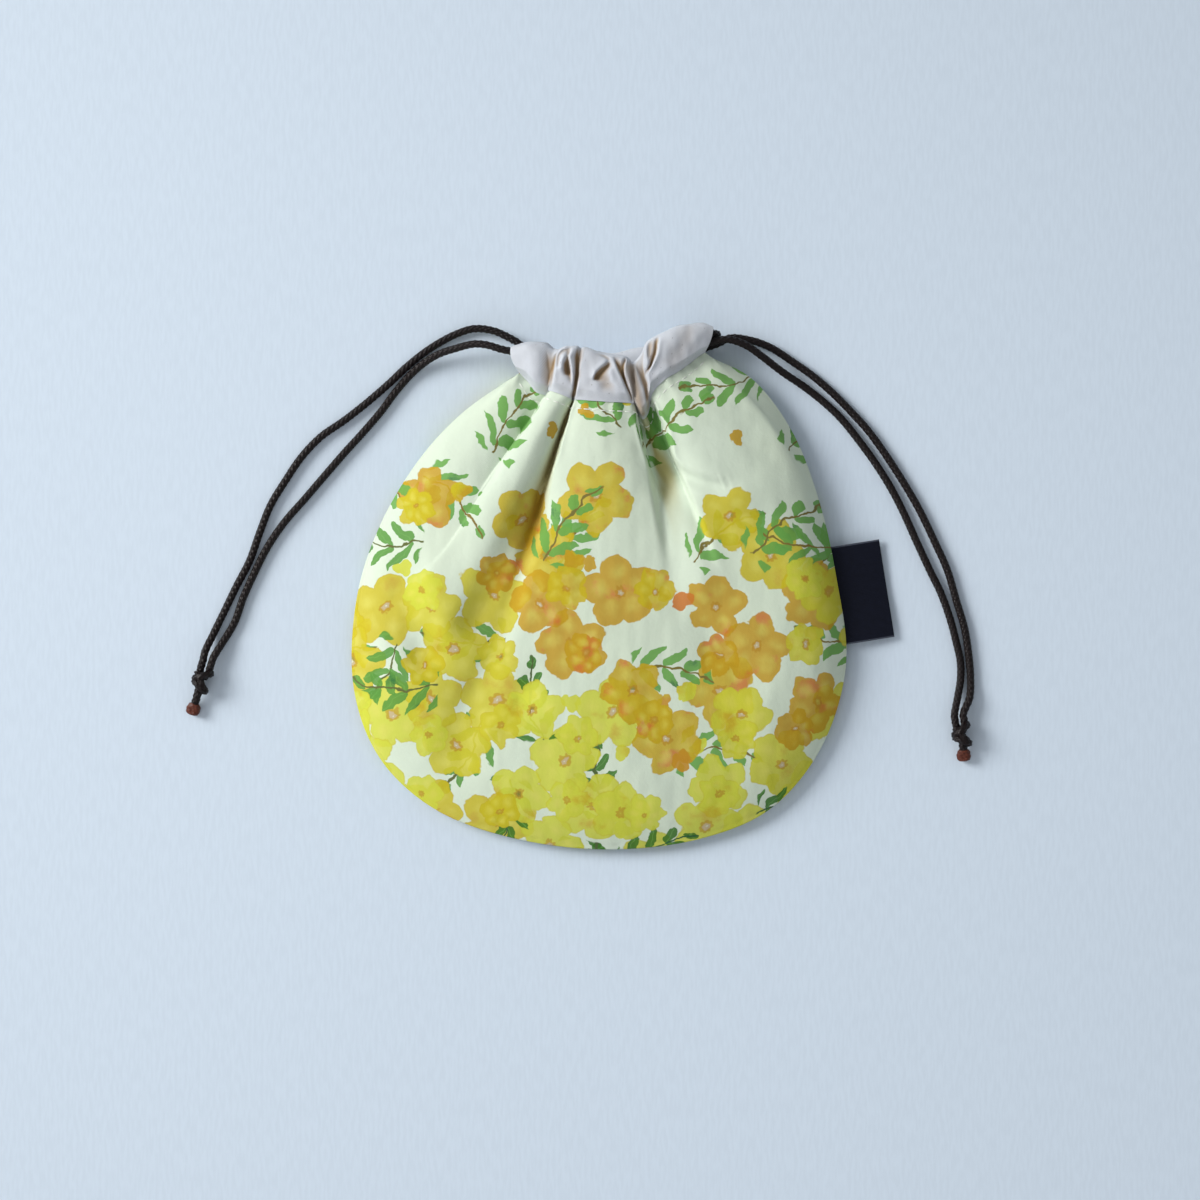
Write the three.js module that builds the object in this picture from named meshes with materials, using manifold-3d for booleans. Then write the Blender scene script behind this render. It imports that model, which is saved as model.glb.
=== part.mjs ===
import * as THREE from 'three';
import { mergeVertices } from 'three/addons/utils/BufferGeometryUtils.js';
import Module from 'manifold-3d';

// A small round drawstring pouch lying on its back, drawn shut, with both cords spread out beside it.
// Millimetres, +Z up. X runs across the pouch, Y from its round bottom to its mouth, and the origin is
// the middle of the flat area that it rests on.

// Body
const bodyWidth = 172;
const bodyDrop = 155.5;
const bodyHeight = 18;
const bottomReach = 87;
const rimHeight = 3.6;
const rimCornerHeight = 6.8;
const shoulderReach = 20;
const backSeamFall = 45;
const backRimFall = 24;
const cottonThickness = 0.5;

// Drawn-up mouth and its canvas casings
const mouthWidth = 64.4;
const casingHeight = 17;
const casingEndHeight = 10.6;
const canvasThickness = 0.7;
const pleatFullness = 2.6;
const backPleatDepth = 1.4;
const backPleats = 4;
const slotGap = 5.2;
const canvasEase = 0.5;
const seamAllowance = 0.9;
const leftWallCut = 5.5;
const rightWallCut = 3.5;
const backCasingInset = 5.5;
const backCornerInset = 1.6;
const backSeamRise = 0.6;

// Cords and knots
const cordDiameter = 2.8;
const tableGap = 0.1;
const cordFall = 45;
const knotClimb = 16;
const knotRing = 2.3;
const knotHalf = 4.6;
const knotTilt = 22;

// Side label
const labelWidth = 17;
const labelLength = 34.5;
const labelThickness = 0.9;
const labelDroop = 1.8;
const labelShare = 0.797;

const clearance = 0.3;

// Sizes worked out from the ones above
const cordRadius = cordDiameter / 2;
const casingHalf = cordRadius + clearance + canvasThickness + canvasEase;
const cordSpacing = cordDiameter + 2 * clearance;
const backCordLevel = casingHalf + backPleatDepth;
const frontCordLevel = backCordLevel + 2 * casingHalf + slotGap;
const frontEndLevel = backCordLevel + 2 * casingHalf + clearance + canvasEase;
const seamY = bodyDrop - bottomReach;
const cordRest = cordRadius + tableGap;
const cordOffset = cordSpacing / 2;
const strandOffset = cordRadius + clearance / 2;
const knotLevel = knotRing + cordRadius;

// The fold lines and the rim were laid out on a pouch of these sizes and stretch with the real ones
const layout = { width: 172, drop: 155.5, mouth: 64.4, mouthX: 4.2, casing: 17 };

// Fold lines of the front panel from the left mouth corner to the right one. Each starts at the mouth seam,
// passes an upper and a lower course and ends at the rim. seam: [x, y, height over the front cord],
// upper and lower: [x, y, sink below the body height], rim: share of the rim's length, rise: way from the
// seam to the casing's top fold, full: how far the casing stands out there, steps: columns to the next line.
const foldLines = [
  { seam: [-28.0, 78.8, -2.8], upper: [-28.6, 78.4, 8], lower: [-29.6, 77.8, 6], rim: 0,
    rise: [-2.6, 10.3], full: 0.1, steps: 2 },
  { seam: [-25.5, 76.3, -2.6], upper: [-30.5, 73.5, 6], lower: [-41.5, 65.8, 5], rim: 0.062,
    rise: [-1.1, 13.3], full: 0.5, steps: 3 },
  { seam: [-21.7, 71.8, -2.2], upper: [-28.7, 63.0, 5.5], lower: [-50.0, 45.5, 4], rim: 0.138,
    rise: [0.7, 17.3], full: 0.6, steps: 4 },
  { seam: [-18.6, 71.0, -3.6], upper: [-30.5, 54.0, 6.5], lower: [-57.0, 14.0, 2.5], rim: 0.223,
    rise: [2.1, 15.8], full: 0.0, steps: 2 },
  { seam: [-17.7, 72.3, 0.6], upper: [-29.2, 53.4, 3.2], lower: [-52.0, 11.0, 2], rim: 0.268,
    rise: [3.0, 14.5], full: 0.7, steps: 2 },
  { seam: [-13.7, 71.0, 2.6], upper: [-23.8, 52.5, 1], lower: [-43.0, 7.0, 0.8], rim: 0.307,
    rise: [2.1, 16.9], full: 1.0, steps: 2 },
  { seam: [-10.2, 69.5, 1.0], upper: [-17.9, 50.8, 4.5], lower: [-34.5, 5.3, 1.6], rim: 0.340,
    rise: [2.1, 18.4], full: 0.8, steps: 2 },
  { seam: [-9.4, 69.0, -4.4], upper: [-16.3, 48.5, 11.5], lower: [-29.5, 3.5, 3.6], rim: 0.371,
    rise: [2.7, 18.2], full: 0.0, steps: 2 },
  { seam: [-8.6, 69.1, 1.2], upper: [-15.0, 49.3, 3.4], lower: [-23.5, 1.8, 1.4], rim: 0.410,
    rise: [3.4, 18.4], full: 0.8, steps: 6 },
  { seam: [1.4, 68.3, 3.4], upper: [1.0, 49.0, 0], lower: [0.0, 0.0, 0], rim: 0.498,
    rise: [-0.3, 17.1], full: 1.0, steps: 6 },
  { seam: [11.6, 67.7, 1.2], upper: [15.4, 49.7, 3.0], lower: [21.7, 0.0, 1.2], rim: 0.571,
    rise: [-3.2, 16.7], full: 0.8, steps: 2 },
  { seam: [12.5, 67.0, -4.6], upper: [17.8, 47.3, 10], lower: [28.0, 0.0, 2.2], rim: 0.598,
    rise: [-2.6, 16.7], full: 0.0, steps: 2 },
  { seam: [15.0, 63.6, -2.8], upper: [21.2, 46.2, 9.5], lower: [33.3, 0.0, 2.4], rim: 0.616,
    rise: [-3.6, 18.6], full: 0.3, steps: 2 },
  { seam: [16.8, 67.2, -4.6], upper: [24.4, 47.6, 10], lower: [39.2, 0.7, 2], rim: 0.634,
    rise: [-2.9, 17.5], full: 0.0, steps: 2 },
  { seam: [17.9, 70.7, 0.8], upper: [26.4, 50.2, 3.4], lower: [47.3, 1.8, 1.4], rim: 0.660,
    rise: [-2.1, 18.2], full: 0.8, steps: 3 },
  { seam: [22.4, 76.0, 3.0], upper: [33.3, 56.5, 0.6], lower: [57.8, 5.3, 1.6], rim: 0.704,
    rise: [0.0, 16.9], full: 1.0, steps: 4 },
  { seam: [27.3, 79.0, 1.6], upper: [39.5, 66.0, 1.8], lower: [68.0, 21.0, 3], rim: 0.765,
    rise: [2.1, 16.2], full: 0.8, steps: 5 },
  { seam: [32.0, 82.6, -0.8], upper: [40.5, 76.0, 4], lower: [61.3, 56.0, 4], rim: 0.857,
    rise: [2.8, 13.2], full: 0.5, steps: 3 },
  { seam: [34.7, 84.8, -1.2], upper: [38.8, 82.0, 6], lower: [46.8, 76.5, 5], rim: 0.943,
    rise: [2.8, 11.4], full: 0.3, steps: 2 },
  { seam: [36.4, 85.8, -1.2], upper: [37.4, 85.2, 8], lower: [38.4, 84.6, 6], rim: 1,
    rise: [3.0, 10.0], full: 0.1, steps: 0 },
];

// The seam line where the two round panels are sewn together, without its two ends at the mouth corners
const rimPoints = [
  [-48.3, 64.8], [-63.0, 49.0], [-77.0, 25.5], [-85.0, 0.0], [-85.8, -31.5], [-77.0, -54.9],
  [-59.5, -71.8], [-35.0, -81.9], [0.0, -87.0], [35.0, -83.3], [59.5, -72.8], [77.0, -51.8],
  [85.8, -22.8], [82.3, 8.8], [76.3, 35.0], [66.5, 59.5], [52.5, 77.3],
];
const rimStart = [-2.8, -1.5];
const rimEnd = [3.1, -1.8];

// Soft creases (depth above 0) and swells (depth below 0) pressed into the front panel
const softCreases = [
  { from: [-22.4, 33.0], to: [-34.0, -8.0], width: 8, depth: 2.4 },
  { from: [-68.0, 2.0], to: [-61.0, -19.0], width: 7, depth: 2.0 },
  { from: [-61.0, -19.0], to: [-28.0, -33.0], width: 7, depth: 2.2 },
  { from: [26.0, 38.0], to: [33.0, 18.0], width: 7, depth: 2.4 },
  { from: [36.0, 41.0], to: [48.0, 36.0], width: 8, depth: -1.6 },
  { from: [62.0, 38.0], to: [71.0, 0.0], width: 8, depth: -1.2 },
  { from: [40.0, -18.0], to: [52.0, -24.0], width: 9, depth: 1.4 },
];

// Small numeric helpers
const curveDivisions = 600;
const lerp = THREE.MathUtils.lerp;
const smooth = (low, high, value) => THREE.MathUtils.smoothstep(value, low, high);

// A curve through values at rising knots that never swings past them
function monotone(knots, values) {
  const last = values.length - 1;
  const slopes = [];
  for (let i = 0; i < last; i += 1) {
    slopes.push((values[i + 1] - values[i]) / (knots[i + 1] - knots[i]));
  }
  const tangents = values.map((_, i) => {
    const before = slopes[Math.max(i - 1, 0)];
    const after = slopes[Math.min(i, last - 1)];
    return before * after > 0 ? (2 * before * after) / (before + after) : 0;
  });
  return (at) => {
    let i = 0;
    while (i < last - 1 && at > knots[i + 1]) {
      i += 1;
    }
    const span = knots[i + 1] - knots[i];
    const f = THREE.MathUtils.clamp((at - knots[i]) / span, 0, 1);
    const f2 = f * f;
    const f3 = f2 * f;
    return values[i] * (2 * f3 - 3 * f2 + 1) + values[i + 1] * (3 * f2 - 2 * f3)
      + span * (tangents[i] * (f3 - 2 * f2 + f) + tangents[i + 1] * (f3 - f2));
  };
}

// Where each column lies: the fold line before it and how far it is on the way to the next one
const columns = [];
foldLines.forEach((line, k) => {
  for (let i = 0; i < line.steps; i += 1) {
    columns.push([k, i / line.steps]);
  }
});
columns.push([foldLines.length - 2, 1]);

// Plan positions
function placeOnBody([x, y]) {
  const stretched = (y + bottomReach) * (bodyDrop / layout.drop) - bottomReach;
  return new THREE.Vector2(x * (bodyWidth / layout.width), stretched);
}

function placeOnMouth([x, y]) {
  const scale = mouthWidth / layout.mouth;
  const middle = layout.mouthX;
  return new THREE.Vector2(middle + (x - middle) * scale, seamY + (y - (layout.drop - bottomReach)) * scale);
}

const leftCorner = placeOnMouth(foldLines[0].seam);
const rightCorner = placeOnMouth(foldLines[foldLines.length - 1].seam);

// Height of the cords in the front casing: highest in the middle of the mouth, lower at its two ends
function frontLevel(x) {
  const side = Math.abs((2 * x - leftCorner.x - rightCorner.x) / (rightCorner.x - leftCorner.x));
  return lerp(frontCordLevel, frontEndLevel, Math.min(side, 1) ** 2.5);
}

const rimCurve = new THREE.CatmullRomCurve3([
  new THREE.Vector3(leftCorner.x + rimStart[0], leftCorner.y + rimStart[1], 0),
  ...rimPoints.map((point) => new THREE.Vector3(...placeOnBody(point), 0)),
  new THREE.Vector3(rightCorner.x + rimEnd[0], rightCorner.y + rimEnd[1], 0),
], false, 'centripetal');
rimCurve.arcLengthDivisions = curveDivisions;

// The rim lies low along the bottom and climbs to the two mouth corners
const cornerClimbShare = 0.16;

function rimPoint(share) {
  const point = rimCurve.getPointAt(THREE.MathUtils.clamp(share, 0, 1));
  const climb = 1 - smooth(0, cornerClimbShare, Math.min(share, 1 - share));
  point.z = lerp(rimHeight, rimCornerHeight, climb);
  return point;
}

// Front panel
const shoulder = (distance) => 1 - Math.exp(-distance / shoulderReach);

function creaseDepth(x, y) {
  let depth = 0;
  for (const crease of softCreases) {
    const from = placeOnBody(crease.from);
    const along = placeOnBody(crease.to).sub(from);
    const away = new THREE.Vector2(x, y).sub(from);
    const f = THREE.MathUtils.clamp(away.dot(along) / along.lengthSq(), 0, 1);
    const distance = away.sub(along.multiplyScalar(f)).length();
    depth += crease.depth * Math.exp(-((distance / crease.width) ** 2));
  }
  return depth;
}

const courseKnots = [0, 0.16, 0.5, 1];

// One fold line's point at a share of the way from the mouth seam to the rim
function foldPoint(line, way) {
  const seam = placeOnMouth(line.seam);
  const upper = placeOnBody(line.upper);
  const lower = placeOnBody(line.lower);
  const rim = rimPoint(line.rim);
  const x = monotone(courseKnots, [seam.x, upper.x, lower.x, rim.x])(way);
  const y = monotone(courseKnots, [seam.y, upper.y, lower.y, rim.y])(way);
  const lowerHeight = bodyHeight - line.lower[2];
  const heights = [frontLevel(seam.x) + line.seam[2], bodyHeight - line.upper[2], lowerHeight, lowerHeight];
  const height = monotone(courseKnots, heights)(way);
  const toRim = Math.hypot(x - rim.x, y - rim.y);
  const length = Math.hypot(seam.x - rim.x, seam.y - rim.y);
  const rise = Math.min(shoulder(toRim) / shoulder(length), 1);
  const soft = creaseDepth(x, y) * smooth(0, shoulderReach, toRim);
  return new THREE.Vector3(x, y, lerp(rim.z, height - soft, rise));
}

const sharpestCorner = 0.4;

// Rows lie closer together at the mouth and at the rim
const rowWay = (f) => f - 0.12 * Math.sin(2 * Math.PI * f);

// Every row and wall is spread out the same way as the seam, so that the pieces sewn there keep together
const seamWays = [0];
foldLines.slice(1).forEach((line, i) => {
  const step = foldPoint(line, 0).distanceTo(foldPoint(foldLines[i], 0));
  seamWays.push(seamWays[i] + step);
});

// Spreads one point for each fold line out to one point for each column
function spread(points) {
  const along = ['x', 'y', 'z'].map((axis) => monotone(seamWays, points.map((point) => point[axis])));
  return columns.map(([k, f]) => {
    const at = lerp(seamWays[k], seamWays[k + 1], f);
    return new THREE.Vector3(along[0](at), along[1](at), along[2](at));
  });
}

// A closed sheet: an outer grid of points, and the same grid pushed in by the cloth's thickness
function sheetGeometry(outer, thickness, inward) {
  const rows = outer.length;
  const cols = outer[0].length;
  const inner = outer.map((row, r) => row.map((point, c) => {
    const down = outer[Math.min(r + 1, rows - 1)][c].clone().sub(outer[Math.max(r - 1, 0)][c]);
    const across = row[Math.min(c + 1, cols - 1)].clone().sub(row[Math.max(c - 1, 0)]);
    const normal = down.cross(across).normalize();
    const edge = r === 0 || r === rows - 1 || c === 0 || c === cols - 1;
    if (edge || normal.z * inward < 0.05) {
      normal.set(0, 0, inward);
    }
    return point.clone().addScaledVector(normal, -thickness);
  }));
  const points = [...outer.flat(), ...inner.flat()];
  const at = (side, r, c) => side * rows * cols + r * cols + c;
  const faces = [];
  const quad = (a, b, c, d) => faces.push(a, b, c, a, c, d);
  for (let r = 0; r < rows - 1; r += 1) {
    for (let c = 0; c < cols - 1; c += 1) {
      quad(at(0, r, c), at(0, r + 1, c), at(0, r + 1, c + 1), at(0, r, c + 1));
      quad(at(1, r, c), at(1, r, c + 1), at(1, r + 1, c + 1), at(1, r + 1, c));
    }
  }
  for (let c = 0; c < cols - 1; c += 1) {
    quad(at(0, 0, c), at(0, 0, c + 1), at(1, 0, c + 1), at(1, 0, c));
    quad(at(0, rows - 1, c), at(1, rows - 1, c), at(1, rows - 1, c + 1), at(0, rows - 1, c + 1));
  }
  for (let r = 0; r < rows - 1; r += 1) {
    quad(at(0, r, 0), at(1, r, 0), at(1, r + 1, 0), at(0, r + 1, 0));
    quad(at(0, r, cols - 1), at(0, r + 1, cols - 1), at(1, r + 1, cols - 1), at(1, r, cols - 1));
  }
  return facesToGeometry(points, faces, inward < 0);
}

function facesToGeometry(points, faces, flip) {
  const positions = points.flatMap((point) => [point.x, point.y, point.z]);
  const index = [];
  for (let i = 0; i < faces.length; i += 3) {
    index.push(faces[i], faces[flip ? i + 2 : i + 1], faces[flip ? i + 1 : i + 2]);
  }
  const geometry = new THREE.BufferGeometry();
  geometry.setAttribute('position', new THREE.Float32BufferAttribute(positions, 3));
  geometry.setIndex(index);
  geometry.computeVertexNormals();
  return geometry;
}

// Moves a panel's first row off the casing's lower edge, square to the seam in plan and further at its corners
function hangFromCasing(rows) {
  const seam = rows[0].map((point) => new THREE.Vector2(point.x, point.y));
  seam.forEach((point, c) => {
    const before = point.clone().sub(seam[Math.max(c - 1, 0)]).normalize();
    const after = seam[Math.min(c + 1, seam.length - 1)].clone().sub(point).normalize();
    const along = before.clone().add(after).normalize();
    const bend = Math.max(along.dot(c > 0 ? before : after), sharpestCorner);
    const distance = clearance / bend;
    rows[0][c].add(new THREE.Vector3(along.y * distance, -along.x * distance, 0));
  });
}

function frontPanelGeometry() {
  const rowCount = 17;
  const rimShare = monotone(seamWays, foldLines.map((line) => line.rim));
  const rim = columns.map(([k, f]) => rimPoint(rimShare(lerp(seamWays[k], seamWays[k + 1], f))));
  const lastRow = spread(foldLines.map((line) => foldPoint(line, 1)));
  const toRim = rim.map((point, c) => point.sub(lastRow[c]));
  const rows = [];
  for (let r = 0; r < rowCount; r += 1) {
    const way = rowWay(r / (rowCount - 1));
    const row = spread(foldLines.map((line) => foldPoint(line, way)));
    rows.push(row.map((point, c) => point.addScaledVector(toRim[c], way ** 3)));
  }
  hangFromCasing(rows);
  rows.forEach((row) => row.forEach((point) => point.setZ(point.z + clearance / 2 + cottonThickness)));
  return sheetGeometry(rows, cottonThickness, 1);
}

// Back panel
const backEndRise = [8, 15];
const fallShare = 0.7;

// The back mouth at a share of the way across: its seam in plan and its casing's height there
function backStation(share) {
  const side = 2 * share - 1;
  const scale = mouthWidth / layout.mouth;
  const x = lerp(leftCorner.x + backCornerInset, rightCorner.x - backCornerInset, share);
  const y = seamY + backSeamRise + backEndRise[side < 0 ? 0 : 1] * Math.abs(side) ** 1.7 * scale;
  return { seam: new THREE.Vector2(x, y), height: lerp(casingHeight, casingEndHeight, side * side) };
}

// The back gathers press on the table and rise a little between two of them
const backGather = (share) => backPleatDepth * 0.5 * (1 - Math.cos(2 * Math.PI * backPleats * share));

function backSeamLevel(share) {
  const side = Math.abs(2 * share - 1);
  return lerp(2 * cottonThickness, backCordLevel, side ** 3) + backGather(share);
}

function backPoint(share, way) {
  const { seam } = backStation(share);
  const rim = rimPoint(share);
  const x = lerp(seam.x, rim.x, way);
  const y = lerp(seam.y, rim.y, way);
  const toSeam = Math.hypot(x - seam.x, y - seam.y);
  const toRim = Math.hypot(x - rim.x, y - rim.y);
  const length = toSeam + toRim;
  const nearSeam = 1 - smooth(0, Math.min(backSeamFall, fallShare * length), toSeam);
  const nearRim = 1 - smooth(0, Math.min(backRimFall, fallShare * length), toRim);
  const z = Math.max(backSeamLevel(share) * nearSeam, (rim.z - clearance / 2) * nearRim);
  return new THREE.Vector3(x, y, z);
}

function backPanelGeometry() {
  const rowCount = 11;
  const columnCount = 41;
  const rows = [];
  for (let r = 0; r < rowCount; r += 1) {
    const way = rowWay(r / (rowCount - 1));
    const row = [];
    for (let c = 0; c < columnCount; c += 1) {
      const share = c / (columnCount - 1);
      const point = backPoint(share, way);
      row.push(point);
    }
    rows.push(row);
  }
  hangFromCasing(rows);
  rows.forEach((row) => row.forEach((point) => point.setZ(Math.max(point.z - cottonThickness, 0))));
  return sheetGeometry(rows, cottonThickness, -1);
}

// Casings. Each is a strip folded over and sewn shut along the seam, so it stands up as a flat tube.
const wallSteps = 4;
const topSteps = 3;
const openShare = 0.22;
const cordShare = 0.53;
const foldShare = 0.55;
const slotReach = 14;
const slotLimit = 1.3;

// One casing's cross-section: out from the seam along the front wall, over the top fold and back along the
// back wall. front and back are how far the walls stand from the cords' height, and trim moves a point of the
// wall beside the mouth in from the casing's ends.
function casingSection({ seam, rise, level, front, back, inset, trim }) {
  const steps = [];
  for (let i = 0; i <= wallSteps; i += 1) {
    steps.push({ share: (foldShare * i) / wallSteps, swell: 1 });
  }
  for (let i = 1; i <= topSteps; i += 1) {
    const angle = (Math.PI / 2) * (i / topSteps);
    steps.push({ share: foldShare + (1 - foldShare) * Math.sin(angle), swell: Math.cos(angle) });
  }
  const edge = inset / rise.length();
  const wallPoint = ({ share, swell }, side) => {
    const reach = Math.max((side > 0 ? front : back) - inset, 0) * swell;
    const base = seam.z + side * (seamAllowance - inset);
    const along = lerp(edge, 1 - edge, share);
    const z = lerp(base, level + side * reach, smooth(0, openShare, share));
    const shorten = side > 0 ? smooth(0.85, 1, share) / 2 : smooth(0, 0.25, share);
    return new THREE.Vector3(trim(seam.x + rise.x * along, shorten), seam.y + rise.y * along, z);
  };
  const ring = steps.map((step) => wallPoint(step, 1));
  const backSteps = steps.slice(0, -1).reverse();
  return [...ring, ...backSteps.map((step) => wallPoint(step, -1))];
}

// A closed thin-walled tube from matching outer and inner rings
function tubeGeometry(outerRings, innerRings) {
  const count = outerRings[0].length;
  const rings = outerRings.length;
  const points = [...outerRings.flat(), ...innerRings.flat()];
  const at = (side, i, j) => side * rings * count + i * count + (j % count);
  const faces = [];
  const quad = (a, b, c, d) => faces.push(a, b, c, a, c, d);
  for (let j = 0; j < count; j += 1) {
    for (let i = 0; i < rings - 1; i += 1) {
      quad(at(0, i, j), at(0, i + 1, j), at(0, i + 1, j + 1), at(0, i, j + 1));
      quad(at(1, i, j), at(1, i, j + 1), at(1, i + 1, j + 1), at(1, i + 1, j));
    }
    quad(at(0, 0, j), at(0, 0, j + 1), at(1, 0, j + 1), at(1, 0, j));
    quad(at(0, rings - 1, j), at(1, rings - 1, j), at(1, rings - 1, j + 1), at(0, rings - 1, j + 1));
  }
  return facesToGeometry(points, faces, false);
}

// The front casing's wall beside the mouth stops short at both ends, where the cords turn
function trimFrontCasing(x, shorten) {
  const fromLeft = THREE.MathUtils.clamp(1 - (x - leftCorner.x) / slotReach, 0, slotLimit);
  const fromRight = THREE.MathUtils.clamp(1 - (rightCorner.x - x) / slotReach, 0, slotLimit);
  return x + shorten * (leftWallCut * fromLeft - rightWallCut * fromRight);
}

const frontRise = (line) => new THREE.Vector2(...line.rise).multiplyScalar(casingHeight / layout.casing);

function frontCasingRings(inset) {
  const sections = foldLines.map((line) => {
    const seam = foldPoint(line, 0);
    const rise = frontRise(line);
    const front = casingHalf + pleatFullness * line.full;
    const level = frontLevel(seam.x);
    return casingSection({ seam, rise, level, front, back: casingHalf, inset, trim: trimFrontCasing });
  });
  const tracks = sections[0].map((_, j) => spread(sections.map((section) => section[j])));
  return columns.map((_, c) => tracks.map((track) => track[c]));
}

const frontCasingGeometry = () => tubeGeometry(frontCasingRings(0), frontCasingRings(canvasThickness));

// Stations across the back casing, from its left end to its right one
function backStations(count) {
  const first = backCasingInset / (rightCorner.x - leftCorner.x);
  return Array.from({ length: count }, (_, i) => lerp(first, 1 - first, i / (count - 1)));
}

function backCasingRings(inset) {
  return backStations(25).map((share) => {
    const line = backStation(share);
    const seam = new THREE.Vector3(line.seam.x, line.seam.y, Math.max(backSeamLevel(share), seamAllowance));
    const gather = backGather(share);
    const back = casingHalf + backPleatDepth - gather;
    const rise = new THREE.Vector2(0, line.height + gather / 2);
    const trim = (x) => x;
    return casingSection({ seam, rise, level: backCordLevel, front: casingHalf, back, inset, trim });
  });
}

const backCasingGeometry = () => tubeGeometry(backCasingRings(0), backCasingRings(canvasThickness));

// Side label: a woven strip folded double, its fold outwards and its ends caught in the side seam
function labelGeometry() {
  const reach = labelLength / rimCurve.getLength() / 2;
  const [from, to] = [rimPoint(labelShare - reach), rimPoint(labelShare + reach)];
  const chord = to.clone().sub(from).normalize();
  const outward = new THREE.Vector3(chord.y, -chord.x, 0);
  const fold = outward.clone().multiplyScalar(labelWidth).setZ(-labelDroop);
  const stepCount = 10;
  const points = [];
  for (let i = 0; i <= stepCount; i += 1) {
    const f = i / stepCount;
    const inner = rimPoint(lerp(labelShare - reach, labelShare + reach, f)).addScaledVector(outward, clearance);
    const outer = from.clone().lerp(to, f).add(fold);
    for (const side of [1, -1]) {
      const lift = new THREE.Vector3(0, 0, (side * labelThickness) / 2);
      points.push(inner.clone().add(lift), outer.clone().add(lift));
    }
  }
  const at = (i, corner) => 4 * i + corner;
  const [innerTop, outerTop, innerBottom, outerBottom] = [0, 1, 2, 3];
  const around = [innerTop, outerTop, outerBottom, innerBottom];
  const faces = [];
  const quad = (a, b, c, d) => faces.push(a, b, c, a, c, d);
  for (let i = 0; i < stepCount; i += 1) {
    around.forEach((corner, j) => {
      const next = around[(j + 1) % around.length];
      quad(at(i, corner), at(i, next), at(i + 1, next), at(i + 1, corner));
    });
  }
  quad(at(0, innerTop), at(0, innerBottom), at(0, outerBottom), at(0, outerTop));
  quad(...[innerTop, outerTop, outerBottom, innerBottom].map((corner) => at(stepCount, corner)));
  return facesToGeometry(points, faces, false);
}

// Cords
const loopStep = 4;
const tailStep = 6;
const cordSection = new THREE.Shape();
const cordSides = 8;
for (let i = 0; i < cordSides; i += 1) {
  const angle = (2 * Math.PI * i) / cordSides;
  const [x, y] = [cordRadius * Math.cos(angle), cordRadius * Math.sin(angle)];
  if (i === 0) {
    cordSection.moveTo(x, y);
  } else {
    cordSection.lineTo(x, y);
  }
}

function cordGeometry(points, stepLength) {
  const path = new THREE.CatmullRomCurve3(points, false, 'centripetal');
  path.arcLengthDivisions = curveDivisions;
  const steps = Math.ceil(path.getLength() / stepLength);
  return new THREE.ExtrudeGeometry(cordSection, { steps, bevelEnabled: false, extrudePath: path });
}

// A plan route moved sideways, to its left
function beside(points, offset) {
  return points.map((point, i) => {
    const next = points[Math.min(i + 1, points.length - 1)];
    const last = points[Math.max(i - 1, 0)];
    const along = next.clone().sub(last).normalize();
    return new THREE.Vector2(point.x - along.y * offset, point.y + along.x * offset);
  });
}

// The cords run along the middle of each casing, side by side
function frontRun(offset, lineNumbers) {
  const lines = lineNumbers.map((number) => foldLines[number]);
  const middles = lines.map((line) => placeOnMouth(line.seam).add(frontRise(line).multiplyScalar(cordShare)));
  const levels = lines.map((line) => frontLevel(placeOnMouth(line.seam).x));
  return beside(middles, offset).map((point, i) => new THREE.Vector3(point.x, point.y, levels[i]));
}

function backRun(offset) {
  const middles = backStations(8).map((share) => {
    const { seam, height } = backStation(share);
    return seam.clone().add(new THREE.Vector2(0, height * cordShare));
  });
  return beside(middles, offset).map((point) => new THREE.Vector3(point.x, point.y, backCordLevel));
}

// Half a circle standing on edge, from the front casing's level down to the back one's
function turnPoints(front, apex) {
  const radius = (front.z - backCordLevel) / 2;
  const heading = apex.clone().sub(new THREE.Vector2(front.x, front.y)).normalize();
  const points = [];
  const stepCount = 4;
  for (let i = 0; i <= stepCount; i += 1) {
    const angle = (Math.PI * i) / stepCount;
    const reach = radius * (Math.sin(angle) - 1);
    const z = backCordLevel + radius * (1 + Math.cos(angle));
    points.push(new THREE.Vector3(apex.x + heading.x * reach, apex.y + heading.y * reach, z));
  }
  return points;
}

// Each cord goes in at one end of the front casing, round the mouth's other end and out of the back casing.
// The left cord runs nearer the top fold, and the right cord nearer the seam.
const cordTurns = { left: [40.8, 92.4], right: [-27.0, 82.0] };

const cordRuns = {
  left: {
    front: frontRun(cordOffset, [0, 1, 2, 5, 9, 13, 14, 15, 16, 17, 19]),
    back: backRun(cordOffset).reverse(),
  },
  right: {
    front: frontRun(-cordOffset, [2, 5, 9, 13, 14, 15, 16, 17, 19]).reverse(),
    back: backRun(-cordOffset),
  },
};

function loopGeometry(side) {
  const { front, back } = cordRuns[side];
  const turn = turnPoints(front[front.length - 1], placeOnMouth(cordTurns[side]));
  return cordGeometry([...front, ...turn, ...back], loopStep);
}

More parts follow.
